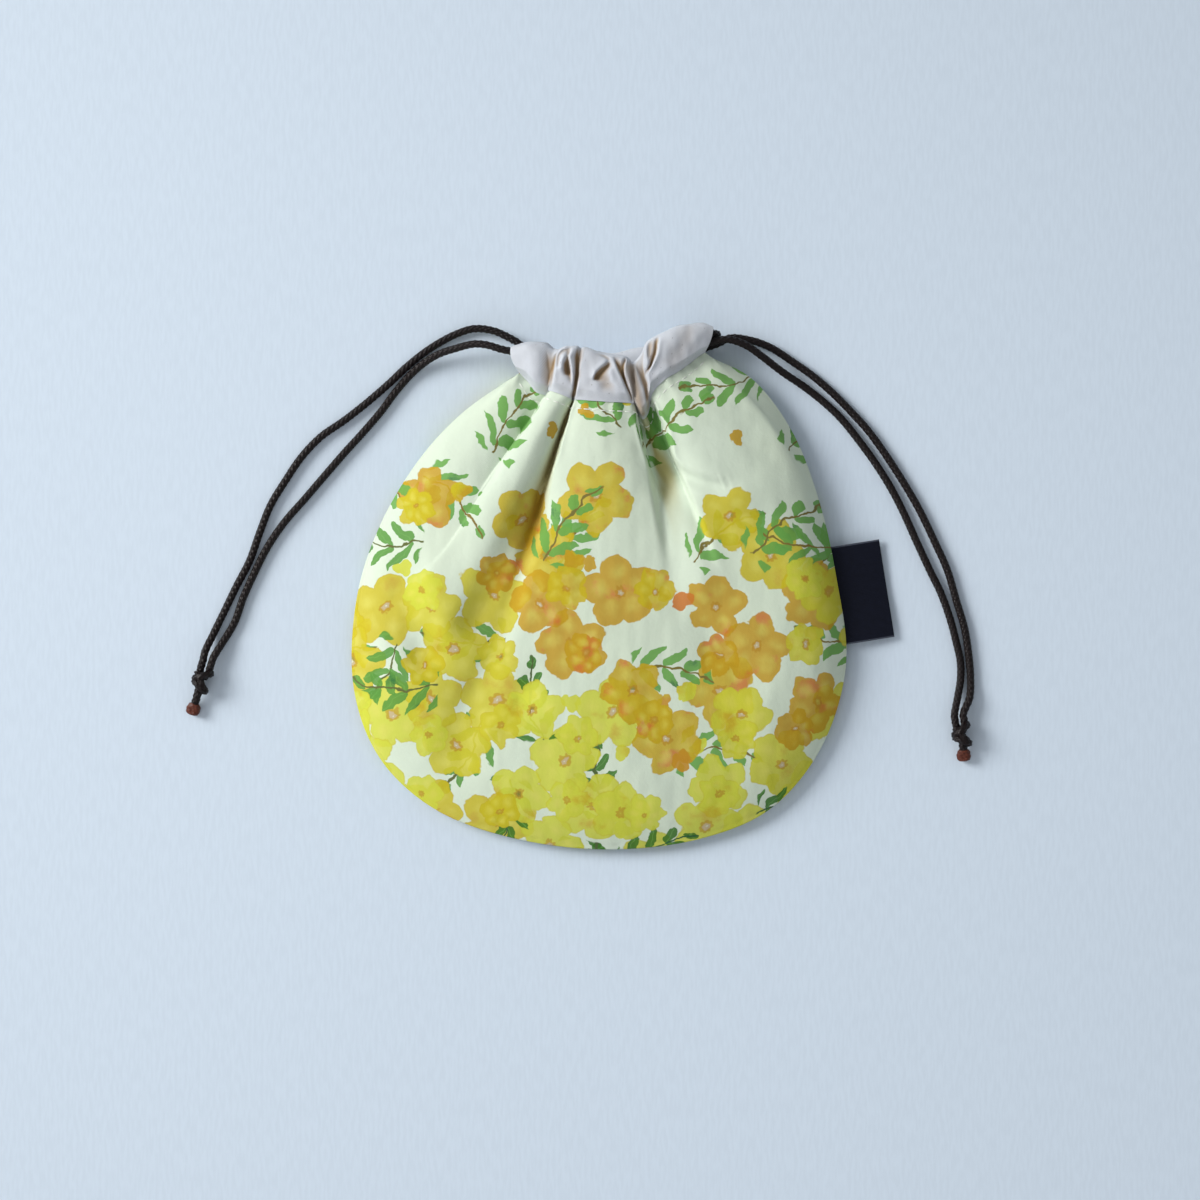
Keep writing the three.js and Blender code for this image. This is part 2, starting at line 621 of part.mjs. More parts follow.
// Plan routes of the four free ends, from the mouth to their knot
const routes = {
  leftFront: [
    [-34.3, 87.0], [-39.2, 88.5], [-44.1, 88.9], [-50.4, 87.5], [-56.0, 85.8], [-60.9, 83.1], [-66.1, 78.8],
    [-71.4, 72.8], [-76.6, 65.8], [-82.6, 58.8], [-89.6, 51.1], [-96.6, 43.0], [-103.2, 35.3],
    [-110.2, 27.3], [-116.2, 18.5], [-121.1, 8.8], [-124.6, 1.0], [-127.7, -7.7], [-131.9, -15.0],
    [-134.8, -19.9],
  ],
  leftBack: [
    [-24.6, 85.6], [-28.0, 89.2], [-32.5, 91.9], [-37.4, 94.0], [-44.1, 94.7], [-50.4, 92.8], [-56.3, 89.8],
    [-61.9, 86.1], [-67.9, 81.2], [-73.8, 75.6], [-81.9, 68.6], [-89.6, 62.6], [-97.6, 57.0],
    [-104.3, 50.0], [-110.2, 41.3], [-115.1, 33.2], [-119.0, 23.4], [-122.5, 13.6], [-127.0, 4.9],
    [-131.2, -3.8], [-135.1, -11.9], [-137.9, -18.2],
  ],
  rightFront: [
    [45.1, 90.3], [50.8, 88.4], [56.0, 85.0], [63.7, 79.4], [71.0, 74.7], [77.7, 69.6], [84.0, 63.7],
    [90.3, 56.0], [96.2, 47.9], [101.5, 39.5], [106.0, 30.8], [110.9, 19.9], [115.1, 10.8], [119.3, 2.1],
    [122.5, -7.0], [124.6, -15.0], [126.0, -21.7], [126.0, -28.0], [124.9, -33.9],
  ],
  rightBack: [
    [37.0, 88.0], [41.0, 89.4], [45.5, 91.4], [52.8, 90.6], [59.5, 88.2], [66.8, 83.6], [74.2, 78.4],
    [80.8, 72.8], [87.1, 66.5], [93.8, 59.1], [100.1, 50.4], [106.4, 40.6], [112.0, 30.8], [117.2, 19.9],
    [121.4, 10.5], [124.6, -0.3], [127.4, -9.8], [128.8, -18.5], [129.5, -26.9], [129.1, -34.0],
  ],
};

// Each knot's middle, the direction from its strands to its tail, and how far the tail stands out
const knots = {
  left: { middle: [-139.1, -28.4], towards: [-0.287, -0.958], tail: 7.8 },
  right: { middle: [126.2, -47.3], towards: [0.132, -0.991], tail: 4.6 },
};

// A strand goes straight into its knot, beside the other one
function knotEntry({ middle, towards }, side) {
  const along = new THREE.Vector2(...towards);
  const across = new THREE.Vector2(along.y, -along.x);
  const strand = new THREE.Vector2(...middle).addScaledVector(across, side * strandOffset);
  const stops = [knotHalf + clearance + cordDiameter, knotHalf + clearance];
  return stops.map((stop) => strand.clone().addScaledVector(along, -stop));
}

// A free end leaves the casing straight, comes down to the table and climbs into its knot
function tailGeometry([end, inside], route, entry) {
  const heading = end.clone().sub(inside).normalize();
  const leave = [clearance, clearance + cordDiameter].map((step) => end.clone().addScaledVector(heading, step));
  const plan = leave.map((point) => new THREE.Vector2(point.x, point.y));
  plan.push(...route.map((point) => new THREE.Vector2(...point)), ...entry);
  const ways = [0];
  plan.slice(1).forEach((point, i) => ways.push(ways[i] + point.distanceTo(plan[i])));
  const length = ways[ways.length - 1];
  const points = plan.slice(leave.length).map((point, i) => {
    const way = ways[i + leave.length];
    const fallen = lerp(leave[1].z, cordRest, smooth(ways[1], cordFall, way));
    const climb = (knotLevel - cordRest) * smooth(length - knotClimb, length - cordDiameter, way);
    return new THREE.Vector3(point.x, point.y, fallen + climb);
  });
  return cordGeometry([...leave, ...points], tailStep);
}

// Knots: both strands of a cord tied together, pulled tight into two slanting wraps
const wasm = await Module();
wasm.setup();

function toSolid(geometry) {
  geometry.deleteAttribute('normal');
  geometry.deleteAttribute('uv');
  const merged = mergeVertices(geometry);
  const vertProperties = new Float32Array(merged.attributes.position.array);
  const triVerts = new Uint32Array(merged.index.array);
  return new wasm.Manifold(new wasm.Mesh({ numProp: 3, vertProperties, triVerts }));
}

function toGeometry(solid) {
  const mesh = solid.getMesh();
  const geometry = new THREE.BufferGeometry();
  geometry.setAttribute('position', new THREE.BufferAttribute(mesh.vertProperties, 3));
  geometry.setIndex(new THREE.BufferAttribute(mesh.triVerts, 1));
  geometry.computeVertexNormals();
  return geometry;
}

function rodAlongX(fromX, toX, fromRadius, toRadius, y) {
  const rod = new THREE.CylinderGeometry(toRadius, fromRadius, toX - fromX, 10);
  rod.rotateZ(-Math.PI / 2);
  rod.translate((fromX + toX) / 2, y, 0);
  return rod;
}

function knotGeometry({ middle, towards, tail }) {
  const wrapAt = knotHalf - cordRadius - knotRing * Math.sin(THREE.MathUtils.degToRad(knotTilt));
  const parts = [-1, 1].map((side) => {
    const wrap = new THREE.TorusGeometry(knotRing, cordRadius, 8, 14);
    wrap.rotateY(Math.PI / 2);
    wrap.rotateZ(THREE.MathUtils.degToRad(knotTilt));
    wrap.translate(side * wrapAt, 0, 0);
    return wrap;
  });
  for (const side of [-1, 1]) {
    parts.push(rodAlongX(-knotHalf, 0, cordRadius, cordRadius, side * strandOffset));
  }
  parts.push(rodAlongX(-wrapAt, wrapAt, knotRing, knotRing, 0));
  parts.push(rodAlongX(0, knotHalf + tail, cordRadius, cordRadius * 1.15, 0));
  const knot = toGeometry(parts.map(toSolid).reduce((whole, part) => whole.add(part)));
  knot.rotateZ(Math.atan2(towards[1], towards[0]));
  knot.translate(middle[0], middle[1], knotLevel);
  return knot;
}

// Materials
const printedCotton = new THREE.MeshStandardMaterial({ color: '#dfe9d2', roughness: 0.85, metalness: 0 });
const canvas = new THREE.MeshStandardMaterial({ color: '#dcdbdc', roughness: 0.9, metalness: 0 });
const braidedCord = new THREE.MeshStandardMaterial({ color: '#241a1b', roughness: 0.55, metalness: 0 });
const wovenLabel = new THREE.MeshStandardMaterial({ color: '#0e0e1c', roughness: 0.7, metalness: 0 });

const pouch = new THREE.Group();

function addPiece(name, geometry, material) {
  const mesh = new THREE.Mesh(geometry, material);
  mesh.name = name;
  pouch.add(mesh);
}

addPiece('front_panel', frontPanelGeometry(), printedCotton);
addPiece('back_panel', backPanelGeometry(), printedCotton);
addPiece('front_casing', frontCasingGeometry(), canvas);
addPiece('back_casing', backCasingGeometry(), canvas);
addPiece('side_label', labelGeometry(), wovenLabel);

for (const side of ['left', 'right']) {
  const { front, back } = cordRuns[side];
  const outer = side === 'left' ? 1 : -1;
  const [frontEntry, backEntry] = [knotEntry(knots[side], -outer), knotEntry(knots[side], outer)];
  const frontTail = tailGeometry(front, routes[`${side}Front`], frontEntry);
  const backTail = tailGeometry(back.slice().reverse(), routes[`${side}Back`], backEntry);
  addPiece(`${side}_cord_loop`, loopGeometry(side), braidedCord);
  addPiece(`${side}_cord_front_tail`, frontTail, braidedCord);
  addPiece(`${side}_cord_back_tail`, backTail, braidedCord);
  addPiece(`${side}_knot`, knotGeometry(knots[side]), braidedCord);
}

export default pouch;
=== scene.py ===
import math

import bpy
import numpy as np
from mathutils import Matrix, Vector


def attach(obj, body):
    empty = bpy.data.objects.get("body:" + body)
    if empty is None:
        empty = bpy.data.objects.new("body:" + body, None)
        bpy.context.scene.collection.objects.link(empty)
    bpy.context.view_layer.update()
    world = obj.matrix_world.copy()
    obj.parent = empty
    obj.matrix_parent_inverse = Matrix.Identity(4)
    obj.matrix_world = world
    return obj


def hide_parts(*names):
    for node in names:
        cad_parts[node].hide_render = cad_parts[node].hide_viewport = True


# A small round drawstring pouch lying on its back, drawn shut, with both cords spread out beside it.
# Places and sizes are in millimetres in the frame's axes, and become metres where a mesh is made.

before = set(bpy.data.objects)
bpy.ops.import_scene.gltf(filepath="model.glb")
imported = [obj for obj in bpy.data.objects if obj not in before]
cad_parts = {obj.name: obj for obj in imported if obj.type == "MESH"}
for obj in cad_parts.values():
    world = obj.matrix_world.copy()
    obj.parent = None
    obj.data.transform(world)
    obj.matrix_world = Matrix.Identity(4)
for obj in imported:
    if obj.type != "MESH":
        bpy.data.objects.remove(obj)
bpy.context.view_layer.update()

MM = 0.001
rng = np.random.default_rng(7)


# Camera: straight above the middle of the photograph
PHOTO_WIDTH = 420
CAMERA_HEIGHT = 1200
SENSOR_WIDTH = 36


def make_camera():
    data = bpy.data.cameras.new("camera")
    data.sensor_width = SENSOR_WIDTH
    data.lens = SENSOR_WIDTH * CAMERA_HEIGHT / PHOTO_WIDTH
    camera = bpy.data.objects.new("camera", data)
    camera.location = (0, 0, CAMERA_HEIGHT * MM)
    bpy.context.scene.collection.objects.link(camera)
    bpy.context.scene.camera = camera


make_camera()

# Curves and grids
RIPPLE_WAVES = 7
LIP_ROLL = 1.2
LIP_EDGE = 0.3


def monotone(knots, values, at):
    """Values at rising knots, joined by a curve that never swings past them. values has the knots last."""
    knots = np.asarray(knots, float)
    values = np.asarray(values, float)
    slopes = np.diff(values, axis=-1) / np.diff(knots)
    before = np.concatenate([slopes[..., :1], slopes], axis=-1)
    after = np.concatenate([slopes, slopes[..., -1:]], axis=-1)
    same_way = before * after > 0
    total = np.where(same_way, before + after, 1)
    tangents = np.where(same_way, 2 * before * after / total, 0)
    i = np.clip(np.searchsorted(knots, at, side="right") - 1, 0, len(knots) - 2)
    span = np.diff(knots)[i]
    f = np.clip((at - knots[i]) / span, 0, 1)
    f2, f3 = f * f, f * f * f
    straight = values[..., i] * (2 * f3 - 3 * f2 + 1) + values[..., i + 1] * (3 * f2 - 2 * f3)
    return straight + span * (tangents[..., i] * (f3 - 2 * f2 + f) + tangents[..., i + 1] * (f3 - f2))


def catmull(points, per_span=24):
    """A smooth curve through points, with its knots spaced by the square root of their distances."""
    points = np.asarray(points, float)
    first = 2 * points[0] - points[1]
    last = 2 * points[-1] - points[-2]
    padded = np.vstack([first, points, last])
    found = []
    for p0, p1, p2, p3 in zip(padded, padded[1:], padded[2:], padded[3:]):
        d0, d1, d2 = (max(np.linalg.norm(b - a) ** 0.5, 1e-4) for a, b in ((p0, p1), (p1, p2), (p2, p3)))
        t1 = ((p1 - p0) / d0 - (p2 - p0) / (d0 + d1) + (p2 - p1) / d1) * d1
        t2 = ((p2 - p1) / d1 - (p3 - p1) / (d1 + d2) + (p3 - p2) / d2) * d1
        f = (np.arange(per_span) / per_span)[:, None]
        curve = (2 * f**3 - 3 * f**2 + 1) * p1 + (f**3 - 2 * f**2 + f) * t1
        found.append(curve + (3 * f**2 - 2 * f**3) * p2 + (f**3 - f**2) * t2)
    return np.vstack([*found, points[-1:]])


def lengths_along(points):
    return np.concatenate([[0], np.cumsum(np.linalg.norm(np.diff(points, axis=0), axis=1))])


def at_lengths(points, lengths):
    along = lengths_along(points)
    return np.stack([np.interp(lengths, along, points[:, k]) for k in range(points.shape[1])], axis=1)


def smooth(low, high, value):
    f = np.clip((value - low) / (high - low), 0, 1)
    return f * f * (3 - 2 * f)


def lerp(a, b, f):
    return a + (b - a) * f


def unit(vectors):
    return vectors / np.maximum(np.linalg.norm(vectors, axis=-1, keepdims=True), 1e-9)


def ripples(x, y, wavelength):
    """Gentle random waviness between about -1 and 1, the same on each run."""
    total = np.zeros_like(x)
    for _ in range(RIPPLE_WAVES):
        angle = rng.uniform(0, 2 * math.pi)
        phase = rng.uniform(0, 2 * math.pi)
        length = wavelength * rng.uniform(0.7, 1.5)
        total += np.sin(2 * math.pi * (x * math.cos(angle) + y * math.sin(angle)) / length + phase)
    return total / RIPPLE_WAVES**0.5


def nearest_on(x, y, points):
    """Distance in plan from a line, above 0 on its left and below on its right, and share of its length."""
    points = np.asarray(points, float)
    along = lengths_along(points)
    distance = np.full(x.shape, np.inf)
    side = np.ones(x.shape)
    share = np.zeros(x.shape)
    for (ax, ay), (bx, by), start, end in zip(points, points[1:], along, along[1:]):
        dx, dy = bx - ax, by - ay
        f = np.clip(((x - ax) * dx + (y - ay) * dy) / (dx * dx + dy * dy), 0, 1)
        away = np.hypot(x - ax - f * dx, y - ay - f * dy)
        nearer = away < distance
        side = np.where(nearer, np.where(dx * (y - ay) > dy * (x - ax), 1, -1), side)
        share = np.where(nearer, lerp(start, end, f) / along[-1], share)
        distance = np.minimum(distance, away)
    return distance * side, share


def strokes_relief(x, y, strokes):
    """Rolls (height above 0) and hollows (height below 0): each is a line, its width and its height."""
    total = np.zeros_like(x)
    for line, width, height in strokes:
        distance, _ = nearest_on(x, y, line)
        total += height * np.exp(-((distance / width) ** 2))
    return total


def lips_relief(x, y, lips):
    """Edges of folds. The cloth on a line's left rolls up to it, and beyond it drops and climbs back."""
    total = np.zeros_like(x)
    for line, lift, drop, reach in lips:
        distance, share = nearest_on(x, y, line)
        fade = smooth(0, 0.1, share) * (1 - smooth(0.75, 1, share))
        upper = lift * np.exp(-((distance / LIP_ROLL) ** 2))
        lower = -drop * np.exp(-((distance / reach) ** 2))
        total += fade * lerp(lower, upper, smooth(-LIP_EDGE, LIP_EDGE, distance))
    return total


def hollow_between(heights, window, depth):
    """How deep each point lies between higher ones to both sides of it, from 0 to 1 at depth."""
    columns = np.arange(heights.shape[1])
    left = right = heights
    for away in range(1, window + 1):
        left = np.maximum(left, heights[:, np.maximum(columns - away, 0)])
        right = np.maximum(right, heights[:, np.minimum(columns + away, len(columns) - 1)])
    return np.clip((np.minimum(left, right) - heights) / depth, 0, 1)


def normals_of(grid):
    down = np.gradient(grid, axis=0)
    across = np.gradient(grid, axis=1)
    return unit(np.cross(down, across))


def soften(grid, rounds):
    """Averages each point of a grid with its neighbours."""
    for _ in range(rounds):
        mean = grid.copy()
        mean[1:-1, 1:-1] = (grid[:-2, 1:-1] + grid[2:, 1:-1] + grid[1:-1, :-2] + grid[1:-1, 2:]) / 4
        grid = (grid + mean) / 2
    return grid


# Meshes
def mesh_object(name, points, faces, material, cloth=None):
    mesh = bpy.data.meshes.new(name)
    mesh.from_pydata((np.asarray(points) * MM).tolist(), [], faces)
    mesh.shade_smooth()
    if cloth is not None:
        attribute = mesh.attributes.new("cloth", "FLOAT_VECTOR", "POINT")
        attribute.data.foreach_set("vector", np.asarray(cloth, np.float32).ravel())
    mesh.materials.append(material)
    made = bpy.data.objects.new(name, mesh)
    bpy.context.scene.collection.objects.link(made)
    return made


def grid_quads(rows, cols, start=0, wrap=False):
    """Quads of a grid of points; with wrap, the last column joins the first."""
    r, c = np.meshgrid(np.arange(rows - 1), np.arange(cols if wrap else cols - 1), indexing="ij")
    nxt = (c + 1) % cols
    quads = np.stack([r * cols + c, (r + 1) * cols + c, (r + 1) * cols + nxt, r * cols + nxt], axis=-1)
    return quads.reshape(-1, 4) + start


def edge_loop(rows, cols):
    """Numbers of the points round a grid's edge, in order."""
    top = np.arange(cols)
    right = np.arange(1, rows) * cols + cols - 1
    bottom = (rows - 1) * cols + np.arange(cols - 2, -1, -1)
    left = np.arange(rows - 2, 0, -1) * cols
    return np.concatenate([top, right, bottom, left])


def cloth_sheet(name, grid, thickness, material, cloth, up=1):
    """A closed sheet: the shown side is the grid, and the other side lies a thickness below it."""
    rows, cols = grid.shape[:2]
    normal = normals_of(grid)
    normal[normal[..., 2] * up < 0.05] = (0, 0, up)
    other = grid - normal * thickness
    points = np.concatenate([grid.reshape(-1, 3), other.reshape(-1, 3)])
    shown = grid_quads(rows, cols)
    hidden = grid_quads(rows, cols, rows * cols)[:, ::-1]
    loop = edge_loop(rows, cols)
    after = np.roll(loop, -1)
    rim = np.stack([loop, after, after + rows * cols, loop + rows * cols], axis=-1)
    faces = np.concatenate([shown, hidden, rim])[:, ::up]
    flat = cloth.reshape(-1, 3)
    return mesh_object(name, points, faces.tolist(), material, np.concatenate([flat, flat]))


def tube(name, path, radii, sides, material, relief=None):
    """A closed tube along a path, with a radius for each point. relief adds to it at each (along, angle)."""
    path = np.asarray(path, float)
    tangent = unit(np.gradient(path, axis=0))
    side = np.zeros_like(path)
    side[0] = unit(np.cross(tangent[0], (0, 0, 1)))
    for i in range(1, len(path)):
        side[i] = unit(side[i - 1] - tangent[i] * np.dot(side[i - 1], tangent[i]))
    over = np.cross(side, tangent)
    angle = 2 * math.pi * np.arange(sides) / sides
    along = lengths_along(path)
    radius = np.broadcast_to(np.asarray(radii, float).reshape(-1, 1), (len(path), sides)).copy()
    if relief is not None:
        radius += relief(along[:, None], angle[None, :])
    ring = side[:, None] * np.cos(angle)[None, :, None] + over[:, None] * np.sin(angle)[None, :, None]
    points = (path[:, None] + ring * radius[..., None]).reshape(-1, 3)
    cloth = np.stack(np.broadcast_arrays(along[:, None], angle * CORD_RADIUS, 0 * radius), axis=-1)
    cloth = cloth.reshape(-1, 3)
    faces = grid_quads(len(path), sides, wrap=True).tolist()
    first = len(points)
    last_ring = first - sides
    for i in range(sides):
        after = (i + 1) % sides
        faces.append([first, i, after])
        faces.append([first + 1, last_ring + after, last_ring + i])
    points = np.vstack([points, path[0], path[-1]])
    return mesh_object(name, points, faces, material, np.vstack([cloth, cloth[0], cloth[-1]]))


def join(name, objects):
    """Several meshes as one piece."""
    for made in bpy.context.selected_objects:
        made.select_set(False)
    for made in objects:
        made.select_set(True)
    bpy.context.view_layer.objects.active = objects[0]
    bpy.ops.object.join()
    objects[0].name = name
    objects[0].data.name = name
    return objects[0]


# Shader nodes
class Wire:
    """What a node gives out. Arithmetic with wires and numbers adds math nodes."""

    def __init__(self, nodes, socket):
        self.nodes = nodes
        self.socket = socket

    def __add__(self, other):
        return self.nodes.math("ADD", self, other)

    def __sub__(self, other):
        return self.nodes.math("SUBTRACT", self, other)

    def __rsub__(self, other):
        return self.nodes.math("SUBTRACT", other, self)

    def __mul__(self, other):
        return self.nodes.math("MULTIPLY", self, other)

    def __truediv__(self, other):
        return self.nodes.math("DIVIDE", self, other)


class Nodes:
    """Builds one material's nodes with short calls."""

    def __init__(self, name):
        self.material = bpy.data.materials.new(name)
        self.material.use_nodes = True
        self.tree = self.material.node_tree

    def put(self, socket, value):
        if isinstance(value, Wire):
            self.tree.links.new(value.socket, socket)
        else:
            socket.default_value = value

    def add(self, kind, inputs, *outputs, **settings):
        """A new node's first output as a wire, or a wire for each of the outputs named."""
        made = self.tree.nodes.new(kind)
        for key, value in settings.items():
            setattr(made, key, value)
        for key, value in inputs.items():
            self.put(made.inputs[key], value)
        wires = [Wire(self, made.outputs[key]) for key in outputs or (0,)]
        return wires[0] if len(wires) == 1 else wires

    def math(self, operation, a, b=0.0):
        return self.add("ShaderNodeMath", {0: a, 1: b}, operation=operation)

    def hypot(self, a, b):
        return self.math("SQRT", a * a + b * b)

    def vector(self, operation, a, b):
        return self.add("ShaderNodeVectorMath", {0: a, 1: b}, operation=operation)

    def scale(self, vector, factors):
        return self.vector("MULTIPLY", vector, factors)

    def split(self, vector):
        return self.add("ShaderNodeSeparateXYZ", {0: vector}, 0, 1, 2)

    def cloth(self):
        """Where a point lies on its flat cloth, with how deep it lies between folds, which sets the painted
        shade, as the third value.
        """
        return self.add("ShaderNodeAttribute", {}, "Vector", attribute_name="cloth")

    def noise(self, vector, scale, detail=2.0, roughness=0.5, output=0):
        inputs = {"Vector": vector, "Scale": scale, "Detail": detail, "Roughness": roughness}
        return self.add("ShaderNodeTexNoise", inputs, output)

    def step(self, value, low, high):
        """0 below low and 1 above high, with a smooth climb between. With high below low, it falls."""
        inputs = {"Value": value, "From Min": low, "From Max": high, "To Min": 0.0, "To Max": 1.0}
        return self.add("ShaderNodeMapRange", inputs, interpolation_type="SMOOTHSTEP")

    def mix(self, factor, a, b, blend="MIX"):
        inputs = {"Factor": factor, 6: a, 7: b}
        return self.add("ShaderNodeMix", inputs, 2, data_type="RGBA", blend_type=blend)

    def shaded(self, color, shade):
        gray = self.add("ShaderNodeCombineColor", {0: shade, 1: shade, 2: shade})
        return self.mix(1.0, color, gray, "MULTIPLY")

    def bump(self, height, distance, strength, normal=None):
        inputs = {"Height": height, "Distance": distance, "Strength": strength}
        if normal is not None:
            inputs["Normal"] = normal
        return self.add("ShaderNodeBump", inputs)

    def finish(self, color, normal, roughness, sheen, specular):
        shader = self.tree.nodes["Principled BSDF"]
        self.put(shader.inputs["Base Color"], color)
        if normal is not None:
            self.put(shader.inputs["Normal"], normal)
        shader.inputs["Roughness"].default_value = roughness
        shader.inputs["Sheen Weight"].default_value = sheen
        shader.inputs["Specular IOR Level"].default_value = specular
        return self.material


def srgb(*levels):
    """A colour given as it looks in a picture, from 0 to 255."""
    shares = [level / 255 for level in levels]
    return (*[v / 12.92 if v <= 0.04045 else ((v + 0.055) / 1.055) ** 2.4 for v in shares], 1.0)


# Colours of the print
CREAM = srgb(203, 216, 200)
WARM_CREAM = srgb(212, 224, 200)
YELLOW = srgb(194, 180, 28)
OCHRE = srgb(188, 150, 24)
LIME = srgb(198, 202, 62)
ORANGE = srgb(196, 118, 44)
THIN_PAINT = srgb(212, 206, 88)
POOLED_PAINT = srgb(178, 140, 30)
HEART = srgb(176, 128, 34)
LEAF = srgb(58, 116, 30)
PALE_LEAF = srgb(102, 160, 72)
DEEP_LEAF = srgb(28, 92, 56)
TWIG = srgb(130, 112, 52)
# Painted shade: colours multiplied into the cotton and the canvas where they lie deep between folds, standing
# in for the warm shade there
PAINTED_COTTON_SHADE = srgb(208, 184, 136)
PAINTED_CANVAS_SHADE = srgb(206, 172, 128)

# Threads of the cotton, the canvas and the label, and the label's length, for its cut edges
COTTON_PITCH = 0.32
CANVAS_PITCH = 0.46
LABEL_PITCH = 0.22
RIB_PITCH = 0.55
LABEL_LENGTH = 34.5

# The print: how far its lines wander, and between which heights its blossoms crowd
PRINT_WOBBLE = 6
CROWD_TOP = 100.0
CROWD_FULL = 40.0
CROWD_DRIFT = 80.0
PAINT_COVER = 0.94
PETAL_COVER = 0.93
# A sprig's stem bends, and its leaves lean along it, widest below their middle; half widths of its lines
STEM_BEND = 0.012
LEAF_LEAN = 0.9
LEAF_SWELL = 0.8
LEAF_EDGE = 0.22
VEIN_HALF = 0.32
STEM_HALF = 0.5
# Distance between a sprig's leaves, their length and half width, as shares of half the stem
LEAF_SPACING = 0.52
LEAF_LENGTH = 0.56
LEAF_WIDTH = 0.17


def weave(nodes, cloth, pitch):
    """Height of a plain weave: threads pass over and under by turns."""
    u, v, _ = nodes.split(cloth)
    turn = math.pi / pitch
    return nodes.math("SINE", u * turn) * nodes.math("SINE", v * turn)


class Scatter:
    """One kind of printed motif, one to a cell of a jittered grid laid over the cloth."""

    def __init__(self, nodes, cloth, cell, offset, jitter=0.3):
        self.nodes = nodes
        spot = nodes.scale(nodes.vector("ADD", cloth, (*offset, 0)), (1 / cell, 1 / cell, 0))
        inputs = {"Vector": spot, "Scale": 1.0, "Randomness": jitter}
        position, color = nodes.add(
            "ShaderNodeTexVoronoi", inputs, "Position", "Color", voronoi_dimensions="2D"
        )
        away = nodes.vector("SUBTRACT", spot, position)
        self.x, self.y, _ = nodes.split(nodes.scale(away, (cell, cell, 0)))
        self.centre = nodes.scale(position, (cell, cell, 0))
        self.chance, self.turn, self.tint = nodes.add("ShaderNodeSeparateColor", {0: color}, 0, 1, 2)
        self.radius = nodes.hypot(self.x, self.y)

    def kept(self, share):
        """1 in the share of the cells that have the motif, and 0 in the others."""
        return self.nodes.math("LESS_THAN", self.chance, share)

    def petals(self, size, count, length=0.47, width=0.42):
        """Oval petals round a middle: 1 along the middle of a petal, 0 on its edge, less outside it."""
        nodes = self.nodes
        sector = 2 * math.pi / count
        angle = nodes.math("ARCTAN2", self.y, self.x)
        aside = (nodes.math("FRACT", self.turn * count + angle / sector) - 0.5) * sector
        out = self.radius * nodes.math("COSINE", aside) - (1 - length) * size
        off = self.radius * nodes.math("SINE", aside)
        return 1.0 - nodes.hypot(out / (length * size), off / (width * size))

    def sprig(self, half_length):
        """A bent stem with pairs of plain pointed leaves: the leaves, their middle veins, and the stem."""
        nodes = self.nodes
        turn = self.turn * (2 * math.pi)
        cos = nodes.math("COSINE", turn)
        sin = nodes.math("SINE", turn)
        along = self.x * cos + self.y * sin
        out = nodes.math("ABSOLUTE", along * along * STEM_BEND + (self.y * cos - self.x * sin))
        slid = along - out * LEAF_LEAN
        spacing = half_length * LEAF_SPACING
        near = nodes.math("ABSOLUTE", nodes.math("FLOORED_MODULO", slid, spacing) - spacing / 2)
        taper = nodes.step(along, half_length * 1.3, -half_length * 0.2)
        far = out / nodes.math("MAXIMUM", taper * (half_length * LEAF_LENGTH), 0.01)
        centred = nodes.math("POWER", far, LEAF_SWELL) * 2.0 - 1.0
        inside = (1.0 - centred * centred) * (half_length * LEAF_WIDTH) - near
        start = nodes.step(along, -half_length * 1.02, -half_length * 0.98)
        leaves = nodes.step(inside, 0.0, LEAF_EDGE) * start * nodes.step(slid, half_length, half_length - 0.3)
        vein = nodes.step(near, VEIN_HALF, 0.1) * leaves
        stem = nodes.step(out, STEM_HALF, 0.25) * start * nodes.step(along, half_length, half_length - 0.5)
        return leaves, vein, stem


def dense_low(nodes, centre):
    """1 in the lower part of the body, where blossoms crowd, falling to 0 above its middle."""
    _, height, _ = nodes.split(centre)
    return nodes.step(nodes.noise(centre, 0.02, 1.0) * CROWD_DRIFT + height, CROWD_TOP, CROWD_FULL)


def add_sprigs(nodes, cloth, paint, color, cell, offset, half_length):
    sprigs = Scatter(nodes, cloth, cell, offset)
    leaves, vein, stem = sprigs.sprig(half_length)
    here = sprigs.kept(dense_low(nodes, sprigs.centre) * -0.25 + 0.9)
    green = nodes.mix(nodes.step(sprigs.tint, 0.35, 0.6), LEAF, PALE_LEAF)
    green = nodes.mix(nodes.step(paint, 0.62, 0.85), green, DEEP_LEAF)
    green = nodes.mix(vein * 0.6, green, PALE_LEAF)
    color = nodes.mix(leaves * here * PAINT_COVER, color, green)
    return nodes.mix(stem * here, color, nodes.mix(sprigs.tint, DEEP_LEAF, TWIG))


